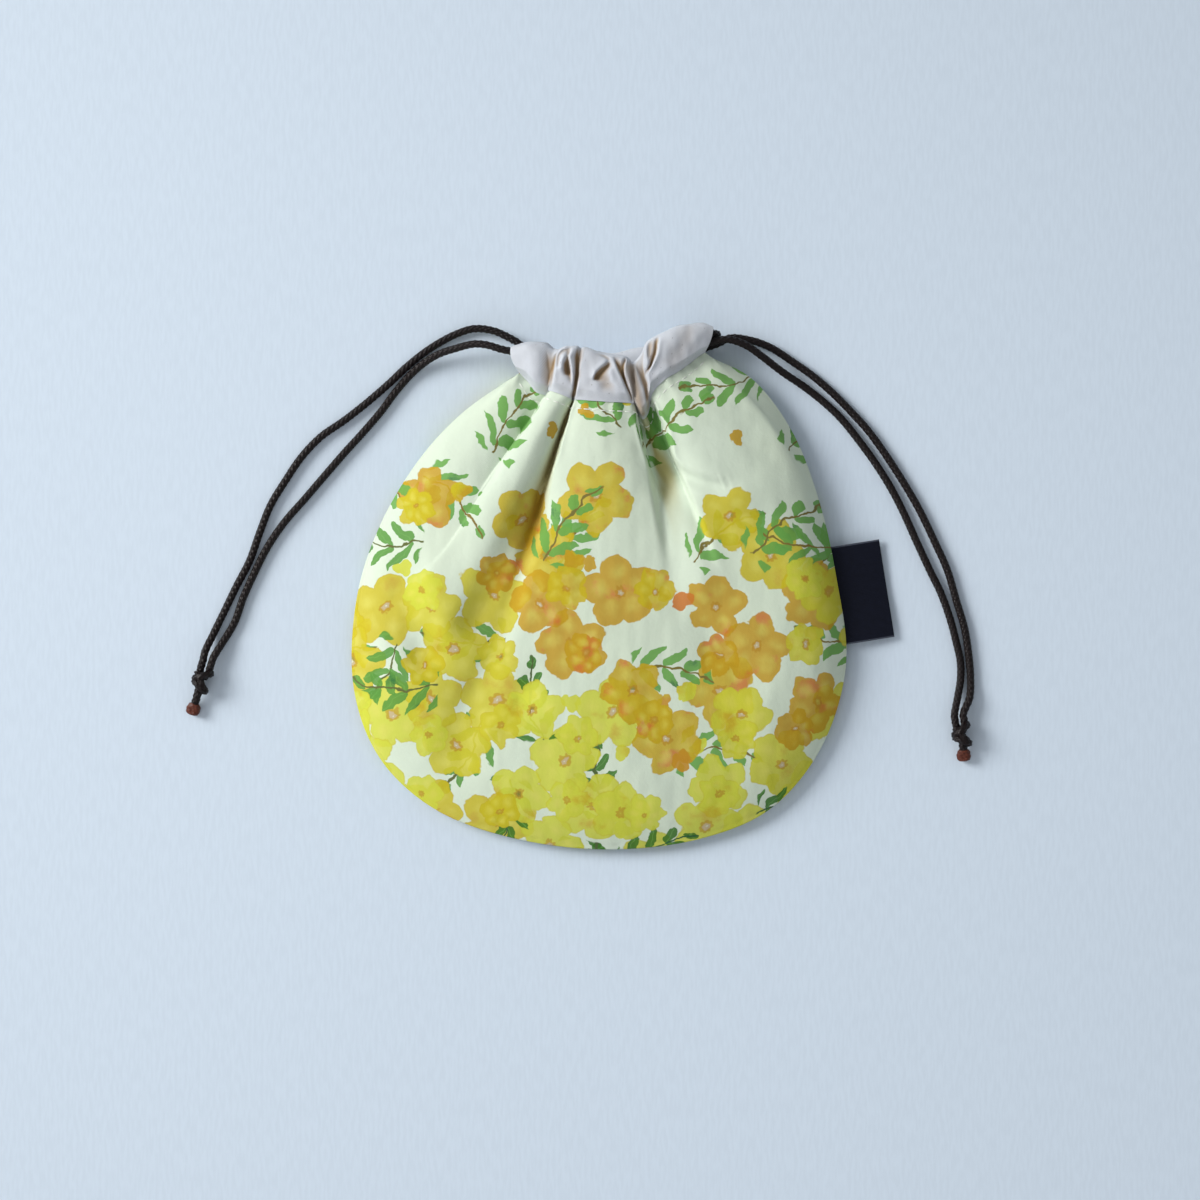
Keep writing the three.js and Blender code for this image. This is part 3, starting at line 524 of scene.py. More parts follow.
def add_blossoms(nodes, cloth, paint, color, cell, offset, size, petal_count=5):
    """Round-petalled blossoms in thin paint, which gathers at the edges and where petals meet."""
    blossoms = Scatter(nodes, cloth, cell, offset)
    inside = blossoms.petals(size, petal_count)
    here = blossoms.kept(dense_low(nodes, blossoms.centre) * 0.74 + 0.2)
    petal = nodes.mix(nodes.step(blossoms.tint, 0.34, 0.6), LIME, YELLOW)
    petal = nodes.mix(nodes.step(blossoms.tint, 0.76, 0.92), petal, OCHRE)
    petal = nodes.mix(nodes.step(paint, 0.6, 0.85) * 0.7, petal, OCHRE)
    blush = nodes.step(paint, 0.42, 0.25) * nodes.step(blossoms.tint, 0.72, 0.8)
    petal = nodes.mix(blush, petal, ORANGE)
    pool = nodes.step(inside, 0.22, 0.0) - paint * 0.5
    petal = nodes.mix(pool * 0.42, petal, POOLED_PAINT)
    thin = nodes.step(inside, 0.3, 0.95) * nodes.step(paint, 0.9, 0.3) * 0.55
    petal = nodes.mix(thin, petal, THIN_PAINT)
    color = nodes.mix(nodes.step(inside, 0.0, 0.07) * here * PETAL_COVER, color, petal)
    heart = blossoms.petals(size * 0.2, 7, length=0.5, width=0.35)
    return nodes.mix(nodes.step(heart, 0.0, 0.3) * here * 0.6, color, HEART)


def add_buds(nodes, cloth, paint, color, cell, offset, size, share):
    buds = Scatter(nodes, cloth, cell, offset, jitter=0.7)
    tint = nodes.mix(nodes.step(buds.tint, 0.45, 0.55), LIME, OCHRE)
    tint = nodes.mix(nodes.step(buds.tint, 0.84, 0.87), tint, ORANGE)
    tint = nodes.mix(nodes.step(paint, 0.5, 0.8), tint, YELLOW)
    rounded = nodes.step(buds.petals(size, 3, length=0.62, width=0.62), 0.0, 0.12)
    return nodes.mix(rounded * buds.kept(share) * PAINT_COVER, color, tint)


# The print's layers, from the lowest up: motif, cell of its grid, the grid's offset, and the motif's sizes
PRINT_LAYERS = [
    (add_sprigs, 44, (9, 21), 15),
    (add_buds, 13, (5, 2), 2.8, 0.16),
    (add_blossoms, 38, (3, 4), 13.2),
    (add_blossoms, 36, (19, 22), 12.4),
    (add_sprigs, 50, (33, -12), 15),
    (add_blossoms, 34, (29, 7), 11.2),
    (add_sprigs, 66, (14, 41), 16),
    (add_blossoms, 26, (12, 23), 7.6, 6),
    (add_buds, 19, (11, 7), 3.8, 0.2),
]


def print_color(nodes, cloth):
    """A generic painted pattern of loose blossoms, buds and leafy sprigs on pale cream."""
    wobble = nodes.vector("SUBTRACT", nodes.noise(cloth, 0.14, 3.0, output="Color"), (0.5, 0.5, 0.5))
    loose = nodes.vector("ADD", nodes.scale(wobble, (PRINT_WOBBLE, PRINT_WOBBLE, 0)), cloth)
    grain = nodes.noise(cloth, 1.6, 3.0, 0.7)
    paint = grain * 0.22 + (nodes.noise(cloth, 0.085, 3.0) * 1.5 - 0.36)
    color = nodes.mix(nodes.noise(cloth, 0.03), CREAM, WARM_CREAM)
    for add, *sizes in PRINT_LAYERS:
        color = add(nodes, loose, paint, color, *sizes)
    return color


def paint_shade_in_hollows(nodes, cloth, color, shade_color):
    """Painted shade: darkens and warms the colour by how deep the cloth lies between folds, in place of the
    shade there.
    """
    _, _, deep = nodes.split(cloth)
    return nodes.mix(deep, color, shade_color, "MULTIPLY")


def make_print_cotton():
    nodes = Nodes("print_cotton")
    cloth = nodes.cloth()
    flat = nodes.scale(cloth, (1, 1, 0))
    threads = weave(nodes, flat, COTTON_PITCH)
    slub = nodes.noise(nodes.scale(flat, (1.0, 0.25, 1.0)), 2.2, 3.0)
    color = nodes.shaded(print_color(nodes, flat), (threads * 0.25 + slub) * 0.09 + 0.945)
    # Painted shade in the deep folds of the cotton
    color = paint_shade_in_hollows(nodes, cloth, color, PAINTED_COTTON_SHADE)
    rumple = nodes.bump(nodes.noise(flat, 0.55, 4.0, 0.6), 0.25 * MM, 0.5)
    normal = nodes.bump(threads, 0.03 * MM, 0.3, rumple)
    return nodes.finish(color, normal, roughness=0.85, sheen=0.08, specular=0.25)


def make_canvas():
    nodes = Nodes("natural_canvas")
    cloth = nodes.cloth()
    flat = nodes.scale(cloth, (1, 1, 0))
    threads = weave(nodes, flat, CANVAS_PITCH)
    slub = nodes.noise(nodes.scale(flat, (0.3, 1.6, 1.0)), 2.0, 3.0)
    color = nodes.mix(nodes.noise(flat, 0.35, 3.0), srgb(206, 210, 216), srgb(195, 199, 206))
    color = nodes.shaded(color, (threads * 0.4 + slub) * 0.12 + 0.91)
    flecks = Scatter(nodes, flat, 4.2, (0, 0), jitter=1.0)
    fleck = nodes.step(flecks.radius, 0.3, 0.15) * flecks.kept(0.2) * 0.7
    color = nodes.mix(fleck, color, srgb(74, 62, 60))
    # Painted shade in the deep folds of the canvas and along its narrow fold
    color = paint_shade_in_hollows(nodes, cloth, color, PAINTED_CANVAS_SHADE)
    normal = nodes.bump(threads, 0.07 * MM, 0.6, nodes.bump(slub, 0.12 * MM, 0.5))
    return nodes.finish(color, normal, roughness=0.9, sheen=0.1, specular=0.2)


def make_cord_material(name, dark, light):
    nodes = Nodes(name)
    fibre = nodes.noise(nodes.scale(nodes.cloth(), (1.5, 6.0, 1.0)), 1.2, 3.0)
    color = nodes.mix(nodes.step(fibre, 0.4, 0.75), dark, light)
    normal = nodes.bump(fibre, 0.05 * MM, 0.6)
    return nodes.finish(color, normal, roughness=0.38, sheen=0.0, specular=0.22)


def make_label_material():
    nodes = Nodes("woven_label")
    cloth = nodes.cloth()
    _, v, _ = nodes.split(cloth)
    threads = weave(nodes, cloth, LABEL_PITCH) * 0.4 + nodes.math("SINE", v * (2 * math.pi / RIB_PITCH))
    color = nodes.mix(nodes.noise(cloth, 0.5, 3.0), srgb(9, 12, 24), srgb(17, 21, 37))
    from_middle = nodes.math("ABSOLUTE", v - LABEL_LENGTH / 2)
    cut_edge = nodes.step(from_middle, LABEL_LENGTH / 2 - 0.7, LABEL_LENGTH / 2 - 0.3)
    color = nodes.mix(cut_edge * 0.6, color, srgb(96, 102, 116))
    normal = nodes.bump(threads, 0.05 * MM, 0.6)
    return nodes.finish(color, normal, roughness=0.75, sheen=0.0, specular=0.15)


def make_thread_material():
    nodes = Nodes("sewing_thread")
    color = nodes.mix(nodes.noise(nodes.cloth(), 1.5), srgb(238, 240, 232), srgb(220, 224, 214))
    return nodes.finish(color, None, roughness=0.6, sheen=0.1, specular=0.35)


print_cotton = make_print_cotton()
canvas = make_canvas()
braided_cord = make_cord_material("braided_cord", srgb(12, 7, 8), srgb(34, 22, 20))
melted_end = make_cord_material("melted_cord_end", srgb(70, 34, 26), srgb(118, 62, 44))
woven_label = make_label_material()
sewing_thread = make_thread_material()

# Body sizes, as in the solids
BODY_HEIGHT = 18
RIM_HEIGHT = 3.6
RIM_CORNER_HEIGHT = 6.8
SHOULDER_REACH = 20
COTTON = 0.5
CANVAS = 0.7
MOUTH_WIDTH = 64.4
CASING_HEIGHT = 17
CASING_END_HEIGHT = 10.6
PLEAT_FULLNESS = 2.6
BACK_PLEAT_DEPTH = 1.4
BACK_PLEATS = 4
CASING_HALF = 2.9
BACK_LEVEL = 4.3
FRONT_LEVEL = 15.3
FRONT_END_LEVEL = 10.9
SEAM_Y = 68.5
SEAM_ALLOWANCE = 0.9
BACK_CASING_INSET = 5.5
BACK_CORNER_INSET = 1.6
BACK_SEAM_RISE = 0.6
BACK_SEAM_FALL = 45
BACK_RIM_FALL = 24
FALL_SHARE = 0.7
CORNER_CLIMB_SHARE = 0.16

# Fold lines of the front panel from the left mouth corner to the right one: seam, upper and lower courses,
# share of the rim, way from the seam to the casing's top fold, how far the casing stands out, columns
FOLD_LINES = [
    ((-28.0, 78.8, -2.8), (-28.6, 78.4, 8), (-29.6, 77.8, 6), 0, (-2.6, 10.3), 0.1, 2),
    ((-25.5, 76.3, -2.6), (-30.5, 73.5, 6), (-41.5, 65.8, 5), 0.062, (-1.1, 13.3), 0.5, 3),
    ((-21.7, 71.8, -2.2), (-28.7, 63.0, 5.5), (-50.0, 45.5, 4), 0.138, (0.7, 17.3), 0.6, 4),
    ((-18.6, 71.0, -3.6), (-30.5, 54.0, 6.5), (-57.0, 14.0, 2.5), 0.223, (2.1, 15.8), 0.0, 2),
    ((-17.7, 72.3, 0.6), (-29.2, 53.4, 3.2), (-52.0, 11.0, 2), 0.268, (3.0, 14.5), 0.7, 2),
    ((-13.7, 71.0, 2.6), (-23.8, 52.5, 1), (-43.0, 7.0, 0.8), 0.307, (2.1, 16.9), 1.0, 2),
    ((-10.2, 69.5, 1.0), (-17.9, 50.8, 4.5), (-34.5, 5.3, 1.6), 0.340, (2.1, 18.4), 0.8, 2),
    ((-9.4, 69.0, -4.4), (-16.3, 48.5, 9.0), (-29.5, 3.5, 3.6), 0.371, (2.7, 18.2), 0.0, 2),
    ((-8.6, 69.1, 1.2), (-15.0, 49.3, 3.4), (-23.5, 1.8, 1.4), 0.410, (3.4, 18.4), 0.8, 9),
    ((1.4, 68.3, 3.4), (1.0, 49.0, 0), (0.0, 0.0, 0), 0.498, (-0.3, 17.1), 1.0, 9),
    ((11.6, 67.7, 1.2), (15.4, 49.7, 3.0), (21.7, 0.0, 1.2), 0.571, (-3.2, 16.7), 0.8, 2),
    ((12.7, 65.2, -4.6), (17.6, 47.3, 9), (28.0, 0.0, 1.8), 0.598, (-2.8, 18.5), 0.0, 3),
    ((15.0, 62.6, -2.8), (21.2, 46.2, 9.5), (33.3, 0.0, 1.9), 0.616, (-3.6, 19.6), 0.3, 3),
    ((17.0, 65.4, -4.6), (25.4, 48.4, 8.8), (41.5, 0.9, 1.6), 0.634, (-2.7, 19.9), 0.0, 2),
    ((17.9, 70.7, 0.8), (26.1, 49.4, 3.2), (47.3, 1.8, 1.4), 0.660, (-2.1, 18.2), 0.8, 3),
    ((22.4, 76.0, 3.0), (33.3, 56.5, 0.6), (57.8, 5.3, 1.6), 0.704, (0.0, 16.9), 1.0, 4),
    ((27.3, 79.0, 1.6), (39.5, 66.0, 1.8), (68.0, 21.0, 3), 0.765, (2.1, 16.2), 0.8, 5),
    ((32.0, 82.6, -0.8), (40.5, 76.0, 4), (61.3, 56.0, 4), 0.857, (2.8, 13.2), 0.5, 3),
    ((34.7, 84.8, -1.2), (38.8, 82.0, 6), (46.8, 76.5, 5), 0.943, (2.8, 11.4), 0.3, 2),
    ((36.4, 85.8, -1.2), (37.4, 85.2, 8), (38.4, 84.6, 6), 1, (3.0, 10.0), 0.1, 0),
]
RIM_POINTS = [
    (-30.8, 77.3), (-48.3, 64.8), (-63.0, 49.0), (-77.0, 25.5), (-85.0, 0.0), (-85.8, -31.5),
    (-77.0, -54.9), (-59.5, -71.8), (-35.0, -81.9), (0.0, -87.0), (35.0, -83.3), (59.5, -72.8),
    (77.0, -51.8), (85.8, -22.8), (82.3, 8.8), (76.3, 35.0), (66.5, 59.5), (52.5, 77.3), (39.5, 84.0),
]
# Soft creases (depth above 0) and swells (depth below 0) pressed into the front panel: line, width, depth
SOFT_CREASES = [
    (((-22.4, 33.0), (-31.0, 16.0), (-43.0, -8.0)), 7, 3.2),
    (((-68.0, 2.0), (-61.0, -19.0)), 7, 2.0),
    (((-61.0, -19.0), (-28.0, -33.0)), 7, 2.6),
    (((-58.0, 4.0), (-50.0, -14.0), (-30.0, -24.0)), 6, -1.4),
    (((27.0, 30.0), (35.0, 8.0)), 8, -2.4),
    (((36.0, 41.0), (48.0, 36.0)), 8, -1.6),
    (((62.0, 38.0), (71.0, 0.0)), 8, -1.2),
    (((40.0, -18.0), (52.0, -24.0)), 9, 1.4),
]
# Edges where one fold of the cotton lies over the next, each with the upper fold on its left:
# line, how far the edge rolls up, how far the cloth under it drops, and over what reach it climbs back
PANEL_LIPS = [
    (((-9.3, 69.5), (-11.2, 62.5), (-13.2, 55.0), (-14.3, 50.3), (-17.3, 44.5), (-20.8, 38.2), (-22.8, 30.0)),
     0.5, 1.8, 3.6),
    (((-31.5, 27.0), (-26.5, 36.4), (-22.7, 42.2), (-19.4, 49.2), (-15.6, 55.6), (-13.1, 60.8),
      (-10.4, 69.0)), 0.3, 0.5, 3.0),
    (((-44.0, 34.0), (-35.3, 46.9), (-30.1, 53.8), (-25.4, 60.2), (-21.4, 67.2), (-18.6, 71.5))[::-1],
     0.3, 1.0, 5.0),
    (((21.0, 34.0), (19.7, 39.8), (18.0, 43.9), (15.7, 49.7), (13.6, 56.7), (11.9, 66.5)), 0.5, 1.8, 3.2),
    (((17.6, 70.0), (19.7, 65.4), (23.2, 59.0), (24.6, 54.3), (25.6, 49.1), (28.5, 45.2), (34.0, 42.6),
      (41.0, 40.8), (50.0, 41.0)), 1.0, 3.2, 3.6),
]

# The seam allowance inside shows as a faint line along the rim
SEAM_TURN = 1.5
SEAM_GROOVE = 0.14
SEAM_GROOVE_HALF = 0.35

# Fine unevenness, each with its height, its wavelength and, where it has one, its reach from the edge
COARSE_RUMPLE = (0.16, 17)
FINE_RUMPLE = (0.07, 7)
SEAM_PUCKER = (0.22, 4.6, 5)
RIM_PUCKER = (0.12, 5.5, 4)
PUCKER_DRIFT = 40
# The bands along the rim and the seam that stay smooth
SMOOTH_RIM = 12
SMOOTH_SEAM = 8

# The columns over which a valley may reach, and the depth at which it counts as deep, for the painted shade
# in the valleys
HOLLOW_COLUMNS = 30
HOLLOW_DEPTH = 9
HOLLOW_ROUNDS = 6

# Columns of the grid for each step between fold lines, and its rows, which crowd at both ends
COLUMN_DENSITY = 5
PANEL_ROWS = 140
ROW_CROWDING = 0.12
COURSES = [0, 0.16, 0.5, 1]
SEAM, UPPER, LOWER, RIM_SHARES, RISE, FULL, STEPS = (np.array(values) for values in zip(*FOLD_LINES))
LEFT_X = SEAM[0, 0]
RIGHT_X = SEAM[-1, 0]

rim_curve = catmull(RIM_POINTS, 40)
rim_length = lengths_along(rim_curve)[-1]


def front_level(x):
    side = np.abs((2 * x - LEFT_X - RIGHT_X) / (RIGHT_X - LEFT_X))
    return lerp(FRONT_LEVEL, FRONT_END_LEVEL, np.minimum(side, 1) ** 2.5)


def rim_point(share):
    share = np.clip(np.atleast_1d(share), 0, 1)
    plan = at_lengths(rim_curve, share * rim_length)
    climb = 1 - smooth(0, CORNER_CLIMB_SHARE, np.minimum(share, 1 - share))
    return np.column_stack([plan, lerp(RIM_HEIGHT, RIM_CORNER_HEIGHT, climb)])


seam_points = np.column_stack([SEAM[:, :2], front_level(SEAM[:, 0]) + SEAM[:, 2]])
seam_ways = lengths_along(seam_points)
column_spans = zip(seam_ways, seam_ways[1:], STEPS * COLUMN_DENSITY)
column_ways = np.concatenate([np.linspace(*span, endpoint=False) for span in column_spans])
column_ways = np.append(column_ways, seam_ways[-1])


def spread(values):
    """Values for each fold line, in the last axis, spread out to one for each column."""
    return monotone(seam_ways, values, column_ways)


def shoulder(distance):
    return 1 - np.exp(-distance / SHOULDER_REACH)


def row_ways(rows):
    """Shares of the way from the mouth seam to the rim."""
    f = np.arange(rows) / (rows - 1)
    return f - ROW_CROWDING * np.sin(2 * math.pi * f)


def front_panel_grid():
    """The front panel's shown side, from the mouth seam to the rim."""
    ways = row_ways(PANEL_ROWS)
    rim = rim_point(RIM_SHARES)
    lower_height = BODY_HEIGHT - LOWER[:, 2]
    courses = [(SEAM[:, k], UPPER[:, k], LOWER[:, k], rim[:, k]) for k in (0, 1)]
    courses.append((seam_points[:, 2], BODY_HEIGHT - UPPER[:, 2], lower_height, lower_height))
    x, y, height = (spread(monotone(COURSES, np.stack(values, axis=-1), ways).T) for values in courses)
    true_rim = rim_point(monotone(seam_ways, RIM_SHARES, column_ways))
    pull = (ways**3)[:, None]
    x += (true_rim[:, 0] - x[-1]) * pull
    y += (true_rim[:, 1] - y[-1]) * pull
    to_rim = np.hypot(x - true_rim[:, 0], y - true_rim[:, 1])
    length = np.maximum(np.hypot(x[0] - true_rim[:, 0], y[0] - true_rim[:, 1]), 0.5)
    rise = np.minimum(shoulder(to_rim) / shoulder(length), 1)
    soft = strokes_relief(x, y, SOFT_CREASES)
    z = lerp(true_rim[:, 2], height - soft * smooth(0, SHOULDER_REACH, to_rim), rise)
    return np.stack([x, y, z + COTTON], axis=-1), to_rim


PATTERN_ROUNDS = 260
PATTERN_STRIDE = 4
PATTERN_PUSH = 0.12


def every_few(count):
    """Every few places of a row, and its last."""
    return np.unique(np.append(np.arange(0, count, PATTERN_STRIDE), count - 1))


def filled_in(lines, spots, count):
    """Lines of values that are known at some spots, filled in for all."""
    return np.stack([np.interp(np.arange(count), spots, line) for line in lines])


def flat_pattern(grid):
    """Where each point of a draped grid lay on the flat cloth, by evening out the stretch of its plan."""
    rows = every_few(grid.shape[0])
    cols = every_few(grid.shape[1])
    coarse = grid[np.ix_(rows, cols)]
    flat = coarse[..., :2].copy()
    pairs = []
    for dr, dc in ((0, 1), (1, 0), (1, 1), (1, -1)):
        a = (slice(0, -dr or None), slice(max(-dc, 0), -dc if dc > 0 else None))
        b = (slice(dr, None), slice(max(dc, 0), dc if dc < 0 else None))
        pairs.append((a, b, np.linalg.norm(coarse[b] - coarse[a], axis=-1)))
    for _ in range(PATTERN_ROUNDS):
        move = np.zeros_like(flat)
        for a, b, real in pairs:
            gap = flat[b] - flat[a]
            now = np.maximum(np.linalg.norm(gap, axis=-1), 1e-6)
            push = (gap.T * ((now - real) / now).T).T * PATTERN_PUSH
            move[a] += push
            move[b] -= push
        flat += move
    full = [filled_in(filled_in(flat[..., k], cols, grid.shape[1]).T, rows, grid.shape[0]).T for k in (0, 1)]
    return np.stack([*full, np.zeros(grid.shape[:2])], axis=-1)


def lift(grid, amount):
    """Moves a grid's points along its own normals."""
    return grid + normals_of(grid) * amount[..., None]


def puckers(way, drift, away, height, wavelength, reach):
    """Small waves along an edge, which die away from it."""
    return height * np.sin(2 * math.pi * way / wavelength + drift) * np.exp(-away / reach)


def make_front_cloth():
    grid, to_rim = front_panel_grid()
    x, y = grid[..., 0], grid[..., 1]
    from_seam = np.hypot(x - x[0], y - y[0])
    rumple = sum(height * ripples(x, y, wavelength) for height, wavelength in (COARSE_RUMPLE, FINE_RUMPLE))
    rim_way = monotone(seam_ways, RIM_SHARES, column_ways) * rim_length
    rim_drift = 2 * ripples(rim_way, 0 * rim_way, PUCKER_DRIFT)
    inner = smooth(0, SMOOTH_RIM, to_rim)
    uneven = rumple * inner * smooth(0, SMOOTH_SEAM, from_seam)
    uneven += puckers(column_ways, 0, from_seam, *SEAM_PUCKER) * smooth(0, 3, to_rim)
    uneven += puckers(rim_way, rim_drift, to_rim, *RIM_PUCKER) * smooth(0, 1.5, to_rim)
    grid = lift(grid, uneven)
    grid[..., 2] += lips_relief(x, y, PANEL_LIPS) * inner
    grid[..., 2] -= SEAM_GROOVE * np.exp(-(((to_rim - SEAM_TURN) / SEAM_GROOVE_HALF) ** 2))
    grid = soften(grid, 2)
    cloth = flat_pattern(grid)
    # Painted shade: how deep the cloth lies between folds, kept as the cloth attribute's third value
    painted_shade = hollow_between(grid[..., 2], HOLLOW_COLUMNS, HOLLOW_DEPTH)
    painted_shade = soften(painted_shade[..., None], HOLLOW_ROUNDS)
    cloth[..., 2] = smooth(0.1, 0.9, painted_shade[..., 0])
    return cloth_sheet("front_cloth", grid, COTTON, print_cotton, cloth), grid


front_cloth, front_grid = make_front_cloth()


# Back panel
BACK_ROWS = 90
BACK_COLUMNS = 240
# The mouth edge bends up towards its ends, more to the right
BACK_LEFT_BEND = 8
BACK_RIGHT_BEND = 15
BACK_BEND_POWER = 1.7
BACK_RUMPLE = (0.12, 14)
# Puts another part of the print on the back
BACK_PRINT_SHIFT = 300


def back_station(share):
    side = 2 * share - 1
    x = lerp(LEFT_X + BACK_CORNER_INSET, RIGHT_X - BACK_CORNER_INSET, share)
    bend = np.where(side < 0, BACK_LEFT_BEND, BACK_RIGHT_BEND) * np.abs(side) ** BACK_BEND_POWER
    return x, SEAM_Y + BACK_SEAM_RISE + bend, lerp(CASING_HEIGHT, CASING_END_HEIGHT, side * side)


def back_gather(share):
    return BACK_PLEAT_DEPTH * 0.5 * (1 - np.cos(2 * math.pi * BACK_PLEATS * share))


def back_seam_level(share):
    side = np.abs(2 * share - 1)
    return lerp(2 * COTTON, BACK_LEVEL, side**3) + back_gather(share)


def make_back_cloth():
    way = row_ways(BACK_ROWS)[:, None]
    share = np.linspace(0, 1, BACK_COLUMNS)
    seam_x, seam_y, _ = back_station(share)
    rim = rim_point(share)
    x = lerp(seam_x, rim[:, 0], way)
    y = lerp(seam_y, rim[:, 1], way)
    to_seam = np.hypot(x - seam_x, y - seam_y)
    to_rim = np.hypot(x - rim[:, 0], y - rim[:, 1])
    length = to_seam + to_rim
    near_seam = 1 - smooth(0, np.minimum(BACK_SEAM_FALL, FALL_SHARE * length), to_seam)
    near_rim = 1 - smooth(0, np.minimum(BACK_RIM_FALL, FALL_SHARE * length), to_rim)
    z = np.maximum(back_seam_level(share) * near_seam, rim[:, 2] * near_rim)
    z += BACK_RUMPLE[0] * (1 + ripples(x, y, BACK_RUMPLE[1])) * smooth(0, 10, to_rim) * near_rim
    z = np.maximum(z - COTTON, 0)
    grid = np.stack([x, y, z], axis=-1)
    cloth = flat_pattern(grid)
    cloth[..., 0] = BACK_PRINT_SHIFT - cloth[..., 0]
    return cloth_sheet("back_cloth", grid, COTTON, print_cotton, cloth, up=-1)


back_cloth = make_back_cloth()

# Casings
WALL_STEPS = 30
TOP_STEPS = 20
OPEN_SHARE = 0.22
FOLD_SHARE = 0.55
SLOT_REACH = 14
SLOT_LIMIT = 1.3
LEFT_WALL_CUT = 5.5
RIGHT_WALL_CUT = 3.5

# Rolls (height above 0) and hollows (height below 0) in the front casing's canvas: line, width, height
CASING_STROKES = [
    (((-15.9, 86.6), (-16.8, 81.5)), 1.6, -1.3),
    (((-14.5, 80.9), (-14.2, 84.5), (-12.7, 86.0), (-10.6, 86.3)), 0.5, -1.5),
    (((-13.4, 79.9), (-13.4, 81.8), (-12.5, 83.7), (-10.9, 84.1)), 0.7, 1.1),
    (((-11.5, 81.0), (-11.3, 78.4)), 0.8, -2.6),
    (((-9.3, 68.8), (-8.3, 73.7), (-7.8, 77.9), (-8.0, 80.9), (-8.1, 83.9), (-7.4, 86.0), (-5.9, 87.8)),
     0.45, -2.0),
    (((-1.2, 86.4), (0.9, 84.4), (2.9, 83.2)), 0.45, -0.9),
    (((3.4, 79.4), (4.4, 76.0)), 1.2, 0.5),
    (((1.4, 75.8), (2.1, 74.5)), 2.4, -0.7),
    (((10.2, 81.8), (11.5, 79.1), (10.9, 77.6), (11.6, 75.5)), 0.4, -1.6),
    (((11.4, 84.6), (12.6, 85.4), (14.6, 84.4)), 0.5, -1.0),
    (((13.6, 80.9), (14.4, 78.6)), 0.5, -0.9),
    (((17.2, 88.6), (16.9, 84.0)), 0.9, -0.8),
    (((19.5, 89.6), (19.0, 85.1), (17.4, 80.9), (15.7, 78.3)), 0.4, -1.6),
    (((31.0, 93.5), (28.5, 87.0), (25.0, 82.0)), 2.4, -0.6),
    (((-23.5, 88.0), (-22.0, 80.0)), 2.6, 0.5),
]
# Edges of the canvas folds, each with the upper fold on its left: line, lift, drop, reach
CASING_LIPS = [
    (((-9.6, 87.8), (-11.8, 87.7), (-13.9, 86.8), (-15.0, 85.1), (-15.5, 82.1), (-16.0, 77.9), (-16.9, 71.8)),
     0.8, 2.0, 1.4),
    (((-6.3, 88.9), (-8.7, 88.3), (-9.9, 86.9), (-10.8, 83.9), (-10.7, 80.9), (-9.9, 77.3), (-9.6, 74.0)),
     0.9, 1.8, 1.0),
    (((-2.4, 75.8), (-1.4, 78.0), (0.2, 79.6), (1.7, 80.9), (3.6, 82.4)), 1.0, 2.4, 1.7),
    (((11.4, 68.4), (8.5, 74.9), (6.4, 79.1), (4.9, 82.7), (4.4, 84.6)), 0.7, 1.8, 1.2),
    (((9.8, 84.4), (8.4, 80.9), (8.2, 77.9), (9.1, 74.3), (11.3, 68.8), (12.6, 63.4)), 0.7, 1.5, 0.9),
    (((16.0, 63.4), (16.2, 67.6), (15.2, 73.1), (13.4, 78.5), (11.3, 82.9)), 0.6, 1.2, 1.0),
    (((15.6, 89.3), (15.1, 85.1), (14.7, 80.9), (15.2, 77.5), (17.2, 73.0)), 0.9, 2.1, 1.3),
    (((20.2, 91.0), (19.4, 85.1), (17.8, 80.7), (16.2, 77.8)), 0.9, 1.5, 0.8),
]
HOLLOW_FLOOR = 2.1
# The narrow fold at the right valley lies in the shade of the two beside it, painted along it as a band: its
# line, width and strength
SHADED_FOLD = ((10.5, 80.0), (12.5, 72.0), (14.4, 63.0))
SHADED_WIDTH = 1.9
SHADED_AMOUNT = 0.75
# How far to each side and how deep a valley of the canvas reaches for its painted shade
CASING_HOLLOW_COLUMNS = 26
CASING_HOLLOW_DEPTH = 2.8
CASING_RUMPLE = (0.1, 5)
END_BULGE = 1.5
END_REACH = 4.5
# Length of canvas gathered into each millimetre of the casing
GATHER_RATIO = 2.2
BACK_CASING_RINGS = 161


def casing_rings(seam, rise, level, front, back, inset):
    """A casing's cross-sections: out from the seam along the front wall, over the fold and back."""
    wall = FOLD_SHARE * np.arange(WALL_STEPS + 1) / WALL_STEPS
    angle = math.pi / 2 * np.arange(1, TOP_STEPS + 1) / TOP_STEPS
    share = np.concatenate([wall, FOLD_SHARE + (1 - FOLD_SHARE) * np.sin(angle)])
    swell = np.concatenate([np.ones_like(wall), np.cos(angle)])
    side = np.concatenate([np.ones_like(share), -np.ones(len(share) - 1)])
    share = np.concatenate([share, share[-2::-1]])
    swell = np.concatenate([swell, swell[-2::-1]])
    edge = inset / np.linalg.norm(rise, axis=1)[:, None]
    along = lerp(edge, 1 - edge, share)
    reach = np.where(side > 0, front[:, None], back[:, None])
    reach = np.maximum(reach - inset, 0) * swell
    base = seam[:, 2:3] + side * (SEAM_ALLOWANCE - inset)
    z = lerp(base, level[:, None] + side * reach, smooth(0, OPEN_SHARE, share))
    x = seam[:, 0:1] + rise[:, 0:1] * along
    y = seam[:, 1:2] + rise[:, 1:2] * along
    return np.stack([x, y, z], axis=-1), share, side


